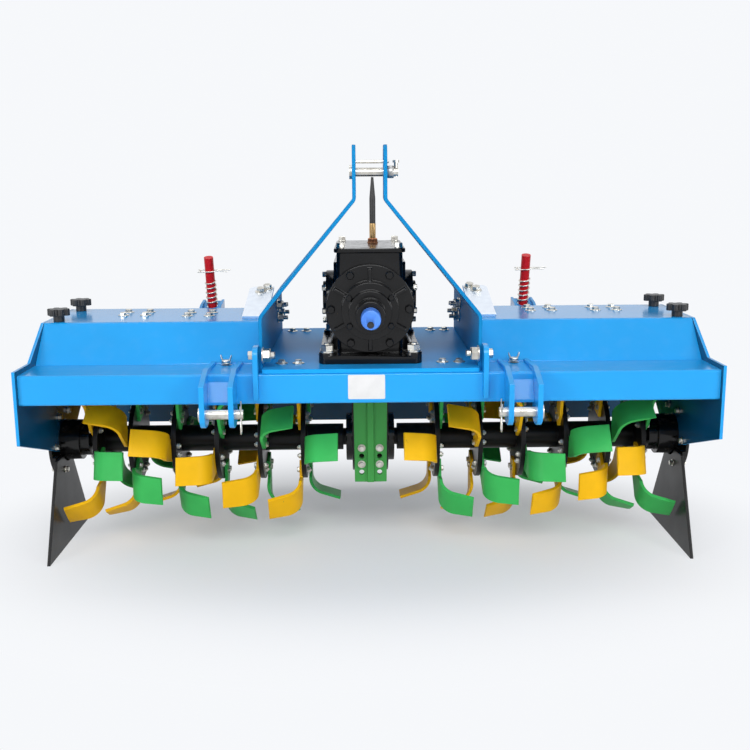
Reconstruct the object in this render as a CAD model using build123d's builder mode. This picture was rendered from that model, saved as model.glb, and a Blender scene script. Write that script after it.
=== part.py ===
from build123d import *
import os

# Rotary tiller with a centre drive, carried on a three-point hitch and parked on two stands.
# Millimetres, X to the right, Y to the rear, Z up, origin on the floor below the rotor's axis.

os.makedirs("parts", exist_ok=True)

# Hood, beams and end plates
HALF_WIDTH = 798.0
END_PLATE = 8.0
BEAM_FRONT = -325.0
BEAM_DEPTH = 134.0
BEAM_HEIGHT = 70.0
BEAM_TOP = 498.5
BEAM_WALL = 6.0
HOOD_TOP = 588.0
HOOD_SHEET = 4.0
HOOD_CREST = -104.0
HOOD_BACK = 160.0
HOOD_REAR = 315.0
HOOD_REAR_TOP = 508.0
HOOD_BEND = 10.0
HOOD_LIP = 28.0
REAR_BEAM = 56.0
REAR_BEAM_HEIGHT = 60.0
REAR_BEAM_WALL = 5.0
DECK = 10.0
END_FRONT_LOW = 338.0
END_LOW = 240.0
END_LOW_FRONT = -30.0
END_LOW_BACK = 60.0
END_REAR_LOW = 430.0
END_CORNER = 40.0
END_LIP = 11.0
END_HEEL = 34.0

# Rotor and its tines
ROTOR_Z = 266.5
TUBE_R = 34.0
TUBE_GAP = 8.0
FLANGE_R = 107.0
FLANGE = 12.0
FLANGE_FIRST = 170.0
FLANGE_LAST_GAP = 88.0
FLANGE_END_SPACE = 106.0
FLANGES = 6
JOURNAL_R = 20.0
DRIVE_SHAFT_R = 22.0
RUNNING = 0.05
TINES_PER_FACE = 3
TINE_FIRST_ANGLE = 71.0
TINE_STEP_ANGLE = 21.5
TINE_SWEEP = 44.0
TINE_TURN = 72.0
TINE = 8.0
TINE_ROOT = 62.0
TINE_STEM = 44.0
TINE_NECK = 44.0
TINE_KNEE = 81.0
TINE_BEND = 49.0
TINE_BLADE = 86.0
TINE_LEAD = 38.0
TINE_TRAIL = 32.0
TINE_TIP_LEAD = 50.0
TINE_TIP_TRAIL = 20.0
TINE_BEVEL = 6.5
TINE_BEVEL_LENGTH = 56.0
TINE_BEVEL_WIDTH = 34.0

# Bearings and parking stands
BEARING_FLANGE = 8.0
BEARING_FLANGE_R = 92.0
BEARING_R = 52.0
BEARING_LENGTH = 50.0
BEARING_NOSE_R = 42.0
BEARING_NOSE = 23.0
BEARING_BORE = 50.0
BEARING_SLACK = 0.5
BEARING_PAD_GAP = 1.0
STAND = 8.0
STAND_FRONT = -215.0
STAND_BACK = 158.0
STAND_TOP = 234.0
STAND_TOP_FRONT = -100.0
STAND_TOP_BACK = 20.0
STAND_RELIEF = 4.0

# Mast and its top link
MAST = 8.0
MAST_INSET = 95.5
MAST_FOOT = 123.5
MAST_LEAN = 262.0
MAST_HEAD = 118.0
MAST_HEAD_HALF = 30.0
MAST_BEND = 18.0
MAST_FRONT = -301.0
MAST_BACK = 301.0
MAST_SHOULDER = 18.0
MAST_HEAD_FRONT = -364.0
MAST_HEAD_BACK = -286.0
TOP_LINK_Y = -325.0
TOP_LINK_INSET = 58.0
TOP_LINK_R = 9.5
TOP_LINK_LOW = 42.0
TOP_LINK_SLACK = 0.25
TOP_PIN_OVER = 24.0
TOP_PIN_HEAD_R = 15.0
TOP_PIN_HEAD = 6.0
LUG = 12.0
LUG_FRONT = -340.0
LUG_BACK = -275.0
LUG_LOW = 440.0
LUG_TOP = 560.0
STRAP = 8.0
STRAP_WIDTH = 64.0
STRAP_FRONT = -63.0
STRAP_LENGTH = 214.0
STRAP_RISE = 14.0
STRAP_CORNER = 20.0

# Lower hitch
HITCH_HALF = 341.5
HITCH_PLATE = 12.0
HITCH_GAP = 52.0
HITCH_FRONT = -400.0
HITCH_CORNER_Z = 484.0
HITCH_LOW = 386.0
HITCH_RIDGE = 6.0
HITCH_PIN_Y = -370.0
HITCH_PIN_Z = 416.0
HITCH_PIN_R = 11.0
HITCH_PIN_SLACK = 0.5
HITCH_PIN_OVER = 18.0
HITCH_PIN_HEAD_R = 17.0
HITCH_PIN_HEAD = 5.0
HITCH_SHELF = 8.0
HITCH_SHELF_LOW = 17.0
HITCH_SHELF_DEPTH = 22.0
HITCH_SHELF_DROP = 42.0

# Gearbox and drive case
BOX_BASE_HALF = 120.0
BOX_BASE_FRONT = -270.0
BOX_BASE_BACK = 120.0
BOX_BASE = 18.5
BOX_BOSS_R = 20.0
BOX_BOSS = 8.0
BOX_HALF = 77.0
BOX_FRONT = -220.0
BOX_BACK = 85.0
BOX_TOP = 762.0
BOX_CORNER = 12.0
BOX_FOOT = 26.0
BOX_FOOT_RISE = 62.0
BOX_WAIST = 8.0
BOX_WAIST_INSET = 30.0
BOX_WAIST_DROP = 24.0
COVER = 10.0
COVER_RIM = 6.0
SIDE_COVER_R = 66.0
SIDE_COVER = 20.0
SIDE_CAP_R = 40.0
SIDE_CAP = 8.0
SIDE_COVER_Y = -95.0
SIDE_COVER_Z = 645.0
PTO_Z = 633.0
INPUT_FLANGE_R = 103.0
INPUT_FLANGE = 20.0
CAP_R = 66.0
CAP_LEDGE = 64.0
CAP_STEP_R = 49.0
CAP_FRONT = -308.0
HUB_R = 33.0
HUB_FRONT = -374.0
INPUT_RIB = 8.0
INPUT_RIBS = 6
PTO_R = 17.5
PTO_END_GAP = 8.0
SPLINES = 6
SPLINE_GAP = 8.0
SPLINE_DEPTH = 2.7
PTO_FRONT = -425.0
PTO_DEPTH = 110.0
PTO_CAP_R = 21.7
PTO_CAP_END = 5.0
PTO_CAP_GAP = 6.0
CASE_HALF = 46.0
CASE_R = 88.0
CASE_TOP_HALF = 105.0
CASE_COVER_R = 62.0
CASE_COVER = 16.0
BREATHER_X = 10.0
BREATHER_Y = -15.0
FITTING_R = 8.0
FITTING = 48.0
FITTING_NUT_R = 12.0
FITTING_NUT = 9.0
PIPE_R = 7.5
PIPE = 62.0
PIPE_TIP_R = 3.0
PIPE_TIP = 52.0

# Centre post
POST_HALF = 43.0
POST_LOW_HALF = 40.0
POST_FRONT = -124.0
POST = 12.0
POST_LOW = 180.0
POST_RIB = 7.0
POST_RIB_HALF = 9.0
POST_RIB_DRAFT = 7.0
POST_HOLE_R = 6.5
POST_HOLE_X = 45.0
POST_HOLE_Z = 21.0
POST_HOLE_ROWS = 4
POST_HOLE_TOP = 268.0

# Knobs on the hood
KNOB_INSET = 30.0
KNOB_FRONT = -80.0
KNOB_PITCH = 201.0
KNOB_R = 27.5
KNOB_LOBE_R = 8.0
KNOB_LOBES = 6
KNOB = 17.0
KNOB_STEM_R = 13.5
KNOB_STEM = 15.0

# Rear board, its hinges and spring rods
BOARD_GAP = 8.0
BOARD = 4.0
HINGE_Y = 332.0
HINGE_Z = 468.0
HINGE_R = 6.0
BARREL_R = 11.0
BARREL = 80.0
BARREL_INSET = 198.0
HINGE_LUG = 8.0
HINGE_LUG_R = 14.0
HINGE_LUG_GAP = 8.0
BOARD_TOP_Y = 341.0
BOARD_TOP_Z = 444.0
BOARD_MID_Y = 380.0
BOARD_MID_Z = 335.0
BOARD_LOW_Y = 404.0
BOARD_LOW_Z = 214.0
ROD_X = 450.0
ROD_R = 13.0
ROD_EYE_Y = 412.0
ROD_EYE_Z = 322.0
ROD_EYE_R = 17.0
ROD_EYE = 20.0
ROD_PIN_R = 8.0
ROD_SEAT_Y = 338.0
ROD_SEAT_Z = 571.0
ROD_OVER_SEAT = 150.0
SEAT = 8.0
SEAT_WIDTH = 46.0
SEAT_LENGTH = 62.0
SEAT_SLOT = 44.0
SEAT_SLOT_WIDTH = 30.0
EAR = 8.0
EAR_FOOT = 230.0
SPRING_R = 17.0
SPRING = 80.0
SPRING_LIFT = 0.5
WASHER_R = 21.0
WASHER = 4.0
FORK = 8.0
FORK_GAP = 3.0

SIDES = {"left": -1, "right": 1}
BEAM_REAR = BEAM_FRONT + BEAM_DEPTH
DECK_TOP = BEAM_TOP + DECK
MAST_HALF = HITCH_HALF - MAST_INSET
BAY_HALF = MAST_HALF + MAST
ROTOR_AXIS = Plane(origin=(0, 0, ROTOR_Z), x_dir=(0, 1, 0), z_dir=(1, 0, 0))
REAR_BEAM_BACK = HOOD_REAR - HOOD_SHEET
MAST_KNEE = BEAM_TOP + MAST_FOOT
MAST_NECK = MAST_KNEE + MAST_LEAN
MAST_TOP = MAST_NECK + MAST_HEAD
TOP_LINK_Z = MAST_TOP - TOP_LINK_INSET
KNOB_X = HALF_WIDTH - KNOB_INSET
BOARD_HALF = HALF_WIDTH - BOARD_GAP
BARREL_PITCH = HALF_WIDTH - BARREL_INSET
NOSE_END = HALF_WIDTH - BEARING_LENGTH - BEARING_NOSE
END_FACE = HALF_WIDTH + END_PLATE


# Front beam: a closed rectangular tube between the end plates
with BuildPart() as front_beam:
    with BuildSketch(Plane.YZ.offset(-HALF_WIDTH)):
        with Locations((BEAM_FRONT + BEAM_DEPTH / 2, BEAM_TOP - BEAM_HEIGHT / 2)):
            RectangleRounded(BEAM_DEPTH, BEAM_HEIGHT, BEAM_WALL)
            Rectangle(BEAM_DEPTH - 2 * BEAM_WALL, BEAM_HEIGHT - 2 * BEAM_WALL, mode=Mode.SUBTRACT)
    extrude(amount=2 * HALF_WIDTH)
front_beam.part.label = "front_beam"
export_step(front_beam.part, "parts/front_beam.step")

# Rear beam: the square tube that carries the deck and the board's hinges
with BuildPart() as rear_beam:
    with BuildSketch(Plane.YZ.offset(-HALF_WIDTH)):
        with Locations((REAR_BEAM_BACK - REAR_BEAM / 2, BEAM_TOP - REAR_BEAM_HEIGHT / 2)):
            Rectangle(REAR_BEAM, REAR_BEAM_HEIGHT)
            Rectangle(
                REAR_BEAM - 2 * REAR_BEAM_WALL,
                REAR_BEAM_HEIGHT - 2 * REAR_BEAM_WALL,
                mode=Mode.SUBTRACT,
            )
    extrude(amount=2 * HALF_WIDTH)
rear_beam.part.label = "rear_beam"
export_step(rear_beam.part, "parts/rear_beam.step")

# Deck between the mast plates
with BuildPart() as deck:
    with BuildSketch(Plane.XY.offset(BEAM_TOP)):
        with Locations((0, (BEAM_FRONT + REAR_BEAM_BACK) / 2)):
            Rectangle(2 * MAST_HALF, REAR_BEAM_BACK - BEAM_FRONT)
    extrude(amount=DECK)
deck.part.label = "deck"
export_step(deck.part, "parts/deck.step")

# Hood halves, end plates, bearings and stands, one of each per side
for name, side in SIDES.items():
    with BuildPart() as hood:
        with BuildSketch(Plane.YZ.offset(side * BAY_HALF)):
            with BuildLine():
                FilletPolyline(
                    (BEAM_REAR, BEAM_TOP - HOOD_LIP),
                    (BEAM_REAR, BEAM_TOP),
                    (HOOD_CREST, HOOD_TOP),
                    (HOOD_BACK, HOOD_TOP),
                    (HOOD_REAR, HOOD_REAR_TOP),
                    (HOOD_REAR, BEAM_TOP - REAR_BEAM_HEIGHT),
                    radius=HOOD_BEND,
                )
                offset(amount=HOOD_SHEET, side=Side.RIGHT)
            make_face()
        extrude(amount=side * (HALF_WIDTH - BAY_HALF))
    hood.part.label = f"hood_{name}"
    export_step(hood.part, f"parts/hood_{name}.step")

    with BuildPart() as end_plate:
        with BuildSketch(Plane.YZ.offset(side * HALF_WIDTH)) as outline:
            with BuildLine():
                Polyline(
                    (BEAM_FRONT - END_LIP, END_FRONT_LOW),
                    (BEAM_FRONT - END_LIP, BEAM_TOP + END_LIP),
                    (BEAM_REAR - END_HEEL, BEAM_TOP + END_LIP),
                    (HOOD_CREST, HOOD_TOP),
                    (HOOD_BACK, HOOD_TOP),
                    (HOOD_REAR, HOOD_REAR_TOP),
                    (HOOD_REAR, END_REAR_LOW),
                    (END_LOW_BACK, END_LOW),
                    (END_LOW_FRONT, END_LOW),
                    close=True,
                )
            make_face()
            fillet(outline.vertices().group_by(Axis.Y)[0], END_CORNER)
            with Locations((0, ROTOR_Z)):
                Circle(BEARING_R + BEARING_SLACK, mode=Mode.SUBTRACT)
        extrude(amount=side * END_PLATE)
    end_plate.part.label = f"end_plate_{name}"
    export_step(end_plate.part, f"parts/end_plate_{name}.step")

    with BuildPart() as bearing:
        with BuildSketch(ROTOR_AXIS.offset(side * END_FACE)):
            Circle(BEARING_FLANGE_R)
        extrude(amount=side * BEARING_FLANGE)
        with BuildSketch(ROTOR_AXIS.offset(side * END_FACE)):
            Circle(BEARING_FLANGE_R)
            with Locations((0, END_LOW - BEARING_PAD_GAP - ROTOR_Z)):
                Rectangle(
                    2 * BEARING_FLANGE_R,
                    2 * BEARING_FLANGE_R,
                    align=(Align.CENTER, Align.MAX),
                    mode=Mode.INTERSECT,
                )
            Circle(BEARING_R)
        extrude(amount=-side * END_PLATE)
        with BuildSketch(ROTOR_AXIS.offset(side * HALF_WIDTH)):
            Circle(BEARING_R)
        extrude(amount=-side * BEARING_LENGTH)
        with BuildSketch(ROTOR_AXIS.offset(side * (HALF_WIDTH - BEARING_LENGTH))):
            Circle(BEARING_NOSE_R)
        extrude(amount=-side * BEARING_NOSE)
        with BuildSketch(ROTOR_AXIS.offset(side * NOSE_END)):
            Circle(JOURNAL_R + RUNNING)
        extrude(amount=side * BEARING_BORE, mode=Mode.SUBTRACT)
    bearing.part.label = f"bearing_{name}"
    export_step(bearing.part, f"parts/bearing_{name}.step")

    with BuildPart() as stand:
        with BuildSketch(Plane.YZ.offset(side * HALF_WIDTH)):
            with BuildLine():
                Polyline(
                    (STAND_FRONT, 0),
                    (STAND_BACK, 0),
                    (STAND_TOP_BACK, STAND_TOP),
                    (STAND_TOP_FRONT, STAND_TOP),
                    close=True,
                )
            make_face()
            with Locations((0, ROTOR_Z)):
                Circle(BEARING_R + STAND_RELIEF, mode=Mode.SUBTRACT)
        extrude(amount=-side * STAND)
    stand.part.label = f"stand_{name}"
    export_step(stand.part, f"parts/stand_{name}.step")

# Rotor: two tubes with welded flanges, the drive shaft between them and a journal at each end
FLANGE_LAST = HALF_WIDTH - FLANGE_END_SPACE
FLANGE_PITCH = (FLANGE_LAST - FLANGE_LAST_GAP - FLANGE_FIRST) / (FLANGES - 2)
FLANGE_X = [FLANGE_FIRST + FLANGE_PITCH * k for k in range(FLANGES - 1)] + [FLANGE_LAST]
TUBE_START = CASE_HALF + CASE_COVER + TUBE_GAP
TUBE_END = FLANGE_X[-1] + FLANGE / 2 + TINE
JOURNAL_END = NOSE_END + BEARING_BORE - TUBE_GAP

with BuildPart() as rotor_shaft:
    with BuildSketch(ROTOR_AXIS.offset(-JOURNAL_END)):
        Circle(JOURNAL_R)
    extrude(amount=2 * JOURNAL_END)
    with BuildSketch(ROTOR_AXIS.offset(-TUBE_START)):
        Circle(DRIVE_SHAFT_R)
    extrude(amount=2 * TUBE_START)
    for side in SIDES.values():
        with BuildSketch(ROTOR_AXIS.offset(side * TUBE_START)):
            Circle(TUBE_R)
        extrude(amount=side * (TUBE_END - TUBE_START))
        for x in FLANGE_X:
            with BuildSketch(ROTOR_AXIS.offset(side * x - FLANGE / 2)):
                Circle(FLANGE_R)
            extrude(amount=FLANGE)
rotor_shaft.part.label = "rotor_shaft"
export_step(rotor_shaft.part, "parts/rotor_shaft.step")

# One tine, pointing up and bent to the right: a strip swept back from the flange's rim, with a wide blade
# whose leading corner is ground to an edge
TINE_PLANE = Plane(
    origin=(0, 0, FLANGE_R),
    x_dir=(1, 0, 0),
    z_dir=Vector(0, -1, 0).rotate(Axis.X, -TINE_SWEEP),
)
BLADE_DIRECTION = Vector(0, 1, 0).rotate(Axis.Z, -TINE_TURN)
BLADE_NORMAL = Vector(-1, 0, 0).rotate(Axis.Z, -TINE_TURN)
TIP_POINT = Vector(0, TINE_KNEE, 0) + BLADE_DIRECTION * TINE_BLADE
LEAD_TIP = TIP_POINT + Vector(0, 0, TINE_TIP_LEAD)
BEVEL_END = LEAD_TIP - Vector(0, 0, TINE_BEVEL_WIDTH)
BEVEL_START = LEAD_TIP - BLADE_DIRECTION * TINE_BEVEL_LENGTH
BEVEL_LOW = LEAD_TIP - BLADE_NORMAL * TINE_BEVEL
BEVEL_PLANE = Plane(
    origin=TINE_PLANE.from_local_coords(BEVEL_START),
    x_dir=TINE_PLANE.from_local_coords(BEVEL_END) - TINE_PLANE.from_local_coords(BEVEL_START),
    z_dir=TINE_PLANE.from_local_coords((BEVEL_LOW - BEVEL_START).cross(BEVEL_END - BEVEL_START))
    - TINE_PLANE.origin,
)
LEAD_NECK = TINE_PLANE.from_local_coords(Vector(0, TINE_NECK, TINE_LEAD))
LEAD_TOP = TINE_PLANE.from_local_coords(Vector(0, TIP_POINT.Y + TINE, TINE_TIP_LEAD))
TRAIL_TOP = TINE_PLANE.from_local_coords(Vector(0, TIP_POINT.Y + TINE, -TINE_TIP_TRAIL))
TRAIL_NECK = TINE_PLANE.from_local_coords(Vector(0, TINE_NECK, -TINE_TRAIL))
with BuildPart() as tine:
    with BuildSketch(TINE_PLANE):
        with BuildLine():
            FilletPolyline(
                (0, -FLANGE_R),
                (0, TINE_KNEE),
                (TIP_POINT.X, TIP_POINT.Y),
                radius=TINE_BEND,
            )
            offset(amount=TINE, side=Side.RIGHT)
        make_face()
    extrude(amount=TINE_LEAD + TINE_TRAIL + TINE_TIP_LEAD, both=True)
    with BuildSketch(Plane.YZ.offset(-TINE_BLADE)):
        with BuildLine():
            Polyline(
                (-TINE_STEM / 2, TINE_ROOT),
                (-TINE_STEM / 2, FLANGE_R),
                (LEAD_NECK.Y, LEAD_NECK.Z),
                (LEAD_TOP.Y, LEAD_TOP.Z),
                (TRAIL_TOP.Y, TRAIL_TOP.Z),
                (TRAIL_NECK.Y, TRAIL_NECK.Z),
                (TINE_STEM / 2, FLANGE_R),
                (TINE_STEM / 2, TINE_ROOT),
                close=True,
            )
        make_face()
    extrude(amount=2 * TINE_BLADE, mode=Mode.INTERSECT)
    split(bisect_by=BEVEL_PLANE, keep=Keep.BOTTOM)

# Tines on both faces of every flange, the outward ones 60 degrees ahead of the inward ones
PACE = 360 / TINES_PER_FACE
for name, side in SIDES.items():
    for way, lead_angle in {side: 0, -side: PACE / 2}.items():
        places = []
        for k, x in enumerate(FLANGE_X):
            first = 90 + TINE_FIRST_ANGLE - TINE_STEP_ANGLE * k + lead_angle
            for n in range(TINES_PER_FACE):
                face_x = side * x + way * FLANGE / 2
                places.append(Location((face_x, 0, ROTOR_Z), (first + PACE * n, 0, 0)))
        blade = tine.part if way > 0 else mirror(tine.part, about=Plane.YZ, mode=Mode.PRIVATE)
        with BuildPart() as tines:
            with Locations(places):
                add(blade)
        colour = "green" if way > 0 else "yellow"
        tines.part.label = f"tines_{name}_{colour}"
        export_step(tines.part, f"parts/tines_{name}_{colour}.step")

# Mast: two bent plates that lean together above the gearbox
with BuildPart() as mast_right:
    with BuildSketch(Plane.XZ):
        with BuildLine():
            FilletPolyline(
                (MAST_HALF, BEAM_TOP),
                (MAST_HALF, MAST_KNEE),
                (MAST_HEAD_HALF, MAST_NECK),
                (MAST_HEAD_HALF, MAST_TOP),
                radius=MAST_BEND,
            )
            offset(amount=MAST, side=Side.RIGHT)
        make_face()
    extrude(amount=-2 * BEAM_FRONT, both=True)
    with BuildSketch(Plane.YZ) as side_view:
        with BuildLine():
            Polyline(
                (MAST_FRONT, BEAM_TOP),
                (MAST_BACK, BEAM_TOP),
                (MAST_BACK, MAST_KNEE + MAST_SHOULDER),
                (MAST_HEAD_BACK, MAST_NECK),
                (MAST_HEAD_BACK, MAST_TOP),
                (MAST_HEAD_FRONT, MAST_TOP),
                (MAST_HEAD_FRONT, MAST_NECK),
                (MAST_FRONT, MAST_KNEE),
                close=True,
            )
        make_face()
        fillet(side_view.vertices().group_by(Axis.Y)[-1], (MAST_HEAD_BACK - MAST_HEAD_FRONT) / 3)
    extrude(amount=BAY_HALF, mode=Mode.INTERSECT)
    with BuildSketch(Plane.YZ):
        with Locations((TOP_LINK_Y, TOP_LINK_Z), (TOP_LINK_Y, TOP_LINK_Z - TOP_LINK_LOW)):
            Circle(TOP_LINK_R + TOP_LINK_SLACK)
    extrude(amount=BAY_HALF, mode=Mode.SUBTRACT)
with BuildPart() as mast_left:
    add(mirror(mast_right.part, about=Plane.YZ, mode=Mode.PRIVATE))
mast_right.part.label = "mast_right"
mast_left.part.label = "mast_left"
export_step(mast_right.part, "parts/mast_right.step")
export_step(mast_left.part, "parts/mast_left.step")

# Top-link pin with its head on the left
PIN_HALF = MAST_HEAD_HALF + MAST
with BuildPart() as top_link_pin:
    with BuildSketch(Plane.YZ.offset(-PIN_HALF)):
        with Locations((TOP_LINK_Y, TOP_LINK_Z)):
            Circle(TOP_LINK_R)
    extrude(amount=2 * PIN_HALF + TOP_PIN_OVER)
    with BuildSketch(Plane.YZ.offset(-PIN_HALF)):
        with Locations((TOP_LINK_Y, TOP_LINK_Z)):
            Circle(TOP_PIN_HEAD_R)
    extrude(amount=-TOP_PIN_HEAD)
top_link_pin.part.label = "top_link_pin"
export_step(top_link_pin.part, "parts/top_link_pin.step")

# Lugs that tie the mast plates to the front beam
with BuildPart() as mast_lugs:
    for side in SIDES.values():
        with BuildSketch(Plane.YZ.offset(side * BAY_HALF)) as lug:
            with BuildLine():
                Polyline(
                    (LUG_FRONT, LUG_LOW),
                    (BEAM_FRONT, LUG_LOW),
                    (BEAM_FRONT, BEAM_TOP),
                    (LUG_BACK, BEAM_TOP),
                    (LUG_BACK, LUG_TOP),
                    (LUG_FRONT, LUG_TOP),
                    close=True,
                )
            make_face()
            fillet(lug.vertices().group_by(Axis.Y)[-1], (LUG_BACK - LUG_FRONT) / 3)
        extrude(amount=side * LUG)
mast_lugs.part.label = "mast_lugs"
export_step(mast_lugs.part, "parts/mast_lugs.step")

# Sloping straps beside the mast plates
STRAP_PLANE = Plane(
    origin=(0, STRAP_FRONT, HOOD_TOP),
    x_dir=(1, 0, 0),
    z_dir=Vector(0, 0, 1).rotate(Axis.X, STRAP_RISE),
)
with BuildPart() as mast_straps:
    for side in SIDES.values():
        with BuildSketch(STRAP_PLANE) as strap:
            with Locations((side * (BAY_HALF + STRAP_WIDTH / 2), STRAP_LENGTH / 2)):
                Rectangle(STRAP_WIDTH, STRAP_LENGTH)
            outer = strap.vertices().group_by(Axis.Y)[-1].sort_by(Axis.X)
            fillet(outer[-1] if side > 0 else outer[0], STRAP_CORNER)
        extrude(amount=STRAP)
mast_straps.part.label = "mast_straps"
export_step(mast_straps.part, "parts/mast_straps.step")

# Lower hitch brackets with their pins
SHELF_TOP = BEAM_TOP - HITCH_SHELF_LOW
for name, side in SIDES.items():
    with BuildPart() as hitch_bracket:
        for way in (-1, 1):
            plate_x = side * HITCH_HALF + way * (HITCH_GAP / 2 + HITCH_PLATE / 2)
            with BuildSketch(Plane.YZ.offset(plate_x - HITCH_PLATE / 2)) as plate:
                with BuildLine():
                    Polyline(
                        (BEAM_FRONT, HITCH_LOW),
                        (BEAM_FRONT, BEAM_TOP),
                        (BEAM_REAR, BEAM_TOP),
                        (BEAM_REAR, BEAM_TOP + HITCH_RIDGE),
                        (BEAM_FRONT, BEAM_TOP + 2 * HITCH_RIDGE),
                        (HITCH_FRONT, HITCH_CORNER_Z),
                        (HITCH_FRONT, HITCH_LOW),
                        close=True,
                    )
                make_face()
                fillet(plate.vertices().group_by(Axis.Y)[0], HITCH_PIN_Z - HITCH_LOW)
                with Locations((HITCH_PIN_Y, HITCH_PIN_Z)):
                    Circle(HITCH_PIN_R + HITCH_PIN_SLACK, mode=Mode.SUBTRACT)
            extrude(amount=HITCH_PLATE)
        with BuildSketch(Plane.YZ.offset(side * HITCH_HALF - HITCH_GAP / 2)):
            with BuildLine():
                Polyline(
                    (BEAM_FRONT, SHELF_TOP),
                    (BEAM_FRONT - HITCH_SHELF_DEPTH, SHELF_TOP - HITCH_SHELF_DROP),
                    (BEAM_FRONT - HITCH_SHELF_DEPTH, SHELF_TOP - HITCH_SHELF_DROP - HITCH_SHELF),
                    (BEAM_FRONT, SHELF_TOP - HITCH_SHELF),
                    close=True,
                )
            make_face()
        extrude(amount=HITCH_GAP)
    hitch_bracket.part.label = f"hitch_bracket_{name}"
    export_step(hitch_bracket.part, f"parts/hitch_bracket_{name}.step")

    reach = HITCH_GAP / 2 + HITCH_PLATE
    with BuildPart() as hitch_pin:
        with BuildSketch(Plane.YZ.offset(side * (HITCH_HALF + reach))):
            with Locations((HITCH_PIN_Y, HITCH_PIN_Z)):
                Circle(HITCH_PIN_R)
        extrude(amount=-side * (2 * reach + HITCH_PIN_OVER))
        with BuildSketch(Plane.YZ.offset(side * (HITCH_HALF + reach))):
            with Locations((HITCH_PIN_Y, HITCH_PIN_Z)):
                Circle(HITCH_PIN_HEAD_R)
        extrude(amount=side * HITCH_PIN_HEAD)
    hitch_pin.part.label = f"hitch_pin_{name}"
    export_step(hitch_pin.part, f"parts/hitch_pin_{name}.step")

# Gearbox casting: base with bolt bosses, spreading foot, body and a wider waist that carries the side covers
BASE_TOP = DECK_TOP + BOX_BASE
BASE_LENGTH = BOX_BASE_BACK - BOX_BASE_FRONT
BOX_LENGTH = BOX_BACK - BOX_FRONT
BOX_MIDDLE = (BOX_BACK + BOX_FRONT) / 2
BASE_MIDDLE = (BOX_BASE_BACK + BOX_BASE_FRONT) / 2
WAIST_HALF = BOX_HALF + BOX_WAIST
with BuildPart() as gearbox_case:
    with BuildSketch(Plane.XY.offset(DECK_TOP)):
        with Locations((0, BASE_MIDDLE)):
            RectangleRounded(2 * BOX_BASE_HALF, BASE_LENGTH, BOX_BOSS_R)
    extrude(amount=BOX_BASE)
    with BuildSketch(Plane.XY.offset(BASE_TOP)):
        with Locations((0, BASE_MIDDLE)):
            with GridLocations(2 * (BOX_BASE_HALF - BOX_BOSS_R), BASE_LENGTH - 2 * BOX_BOSS_R, 2, 2):
                Circle(BOX_BOSS_R)
    extrude(amount=BOX_BOSS)
    with BuildSketch(Plane.XZ.offset(-BOX_MIDDLE)):
        with BuildLine():
            Polyline(
                (-BOX_HALF - BOX_FOOT, BASE_TOP),
                (-BOX_HALF, BASE_TOP + BOX_FOOT_RISE),
                (BOX_HALF, BASE_TOP + BOX_FOOT_RISE),
                (BOX_HALF + BOX_FOOT, BASE_TOP),
                close=True,
            )
        make_face()
    extrude(amount=BOX_LENGTH / 2 - BOX_WAIST_INSET, both=True)
    with BuildSketch(Plane.XY.offset(BASE_TOP)):
        with Locations((0, BOX_MIDDLE)):
            RectangleRounded(2 * BOX_HALF, BOX_LENGTH, BOX_CORNER)
    extrude(amount=BOX_TOP - BASE_TOP)
    with BuildSketch(Plane.XY.offset(BASE_TOP + BOX_FOOT_RISE / 2)):
        with Locations((0, BOX_MIDDLE)):
            RectangleRounded(2 * WAIST_HALF, BOX_LENGTH - 2 * BOX_WAIST_INSET, BOX_CORNER)
    extrude(amount=BOX_TOP - BOX_WAIST_DROP - BASE_TOP - BOX_FOOT_RISE / 2)
gearbox_case.part.label = "gearbox_case"
export_step(gearbox_case.part, "parts/gearbox_case.step")

with BuildPart() as gearbox_cover:
    with BuildSketch(Plane.XY.offset(BOX_TOP)):
        with Locations((0, BOX_MIDDLE)):
            RectangleRounded(2 * (BOX_HALF + COVER_RIM), BOX_LENGTH + 2 * COVER_RIM, BOX_CORNER)
    extrude(amount=COVER)
gearbox_cover.part.label = "gearbox_cover"
export_step(gearbox_cover.part, "parts/gearbox_cover.step")

with BuildPart() as side_covers:
    for side in SIDES.values():
        with BuildSketch(Plane.YZ.offset(side * WAIST_HALF)):
            with Locations((SIDE_COVER_Y, SIDE_COVER_Z)):
                Circle(SIDE_COVER_R)
        extrude(amount=side * SIDE_COVER)
        with BuildSketch(Plane.YZ.offset(side * (WAIST_HALF + SIDE_COVER))):
            with Locations((SIDE_COVER_Y, SIDE_COVER_Z)):
                Circle(SIDE_CAP_R)
        extrude(amount=side * SIDE_CAP)
side_covers.part.label = "side_covers"
export_step(side_covers.part, "parts/side_covers.step")

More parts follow.
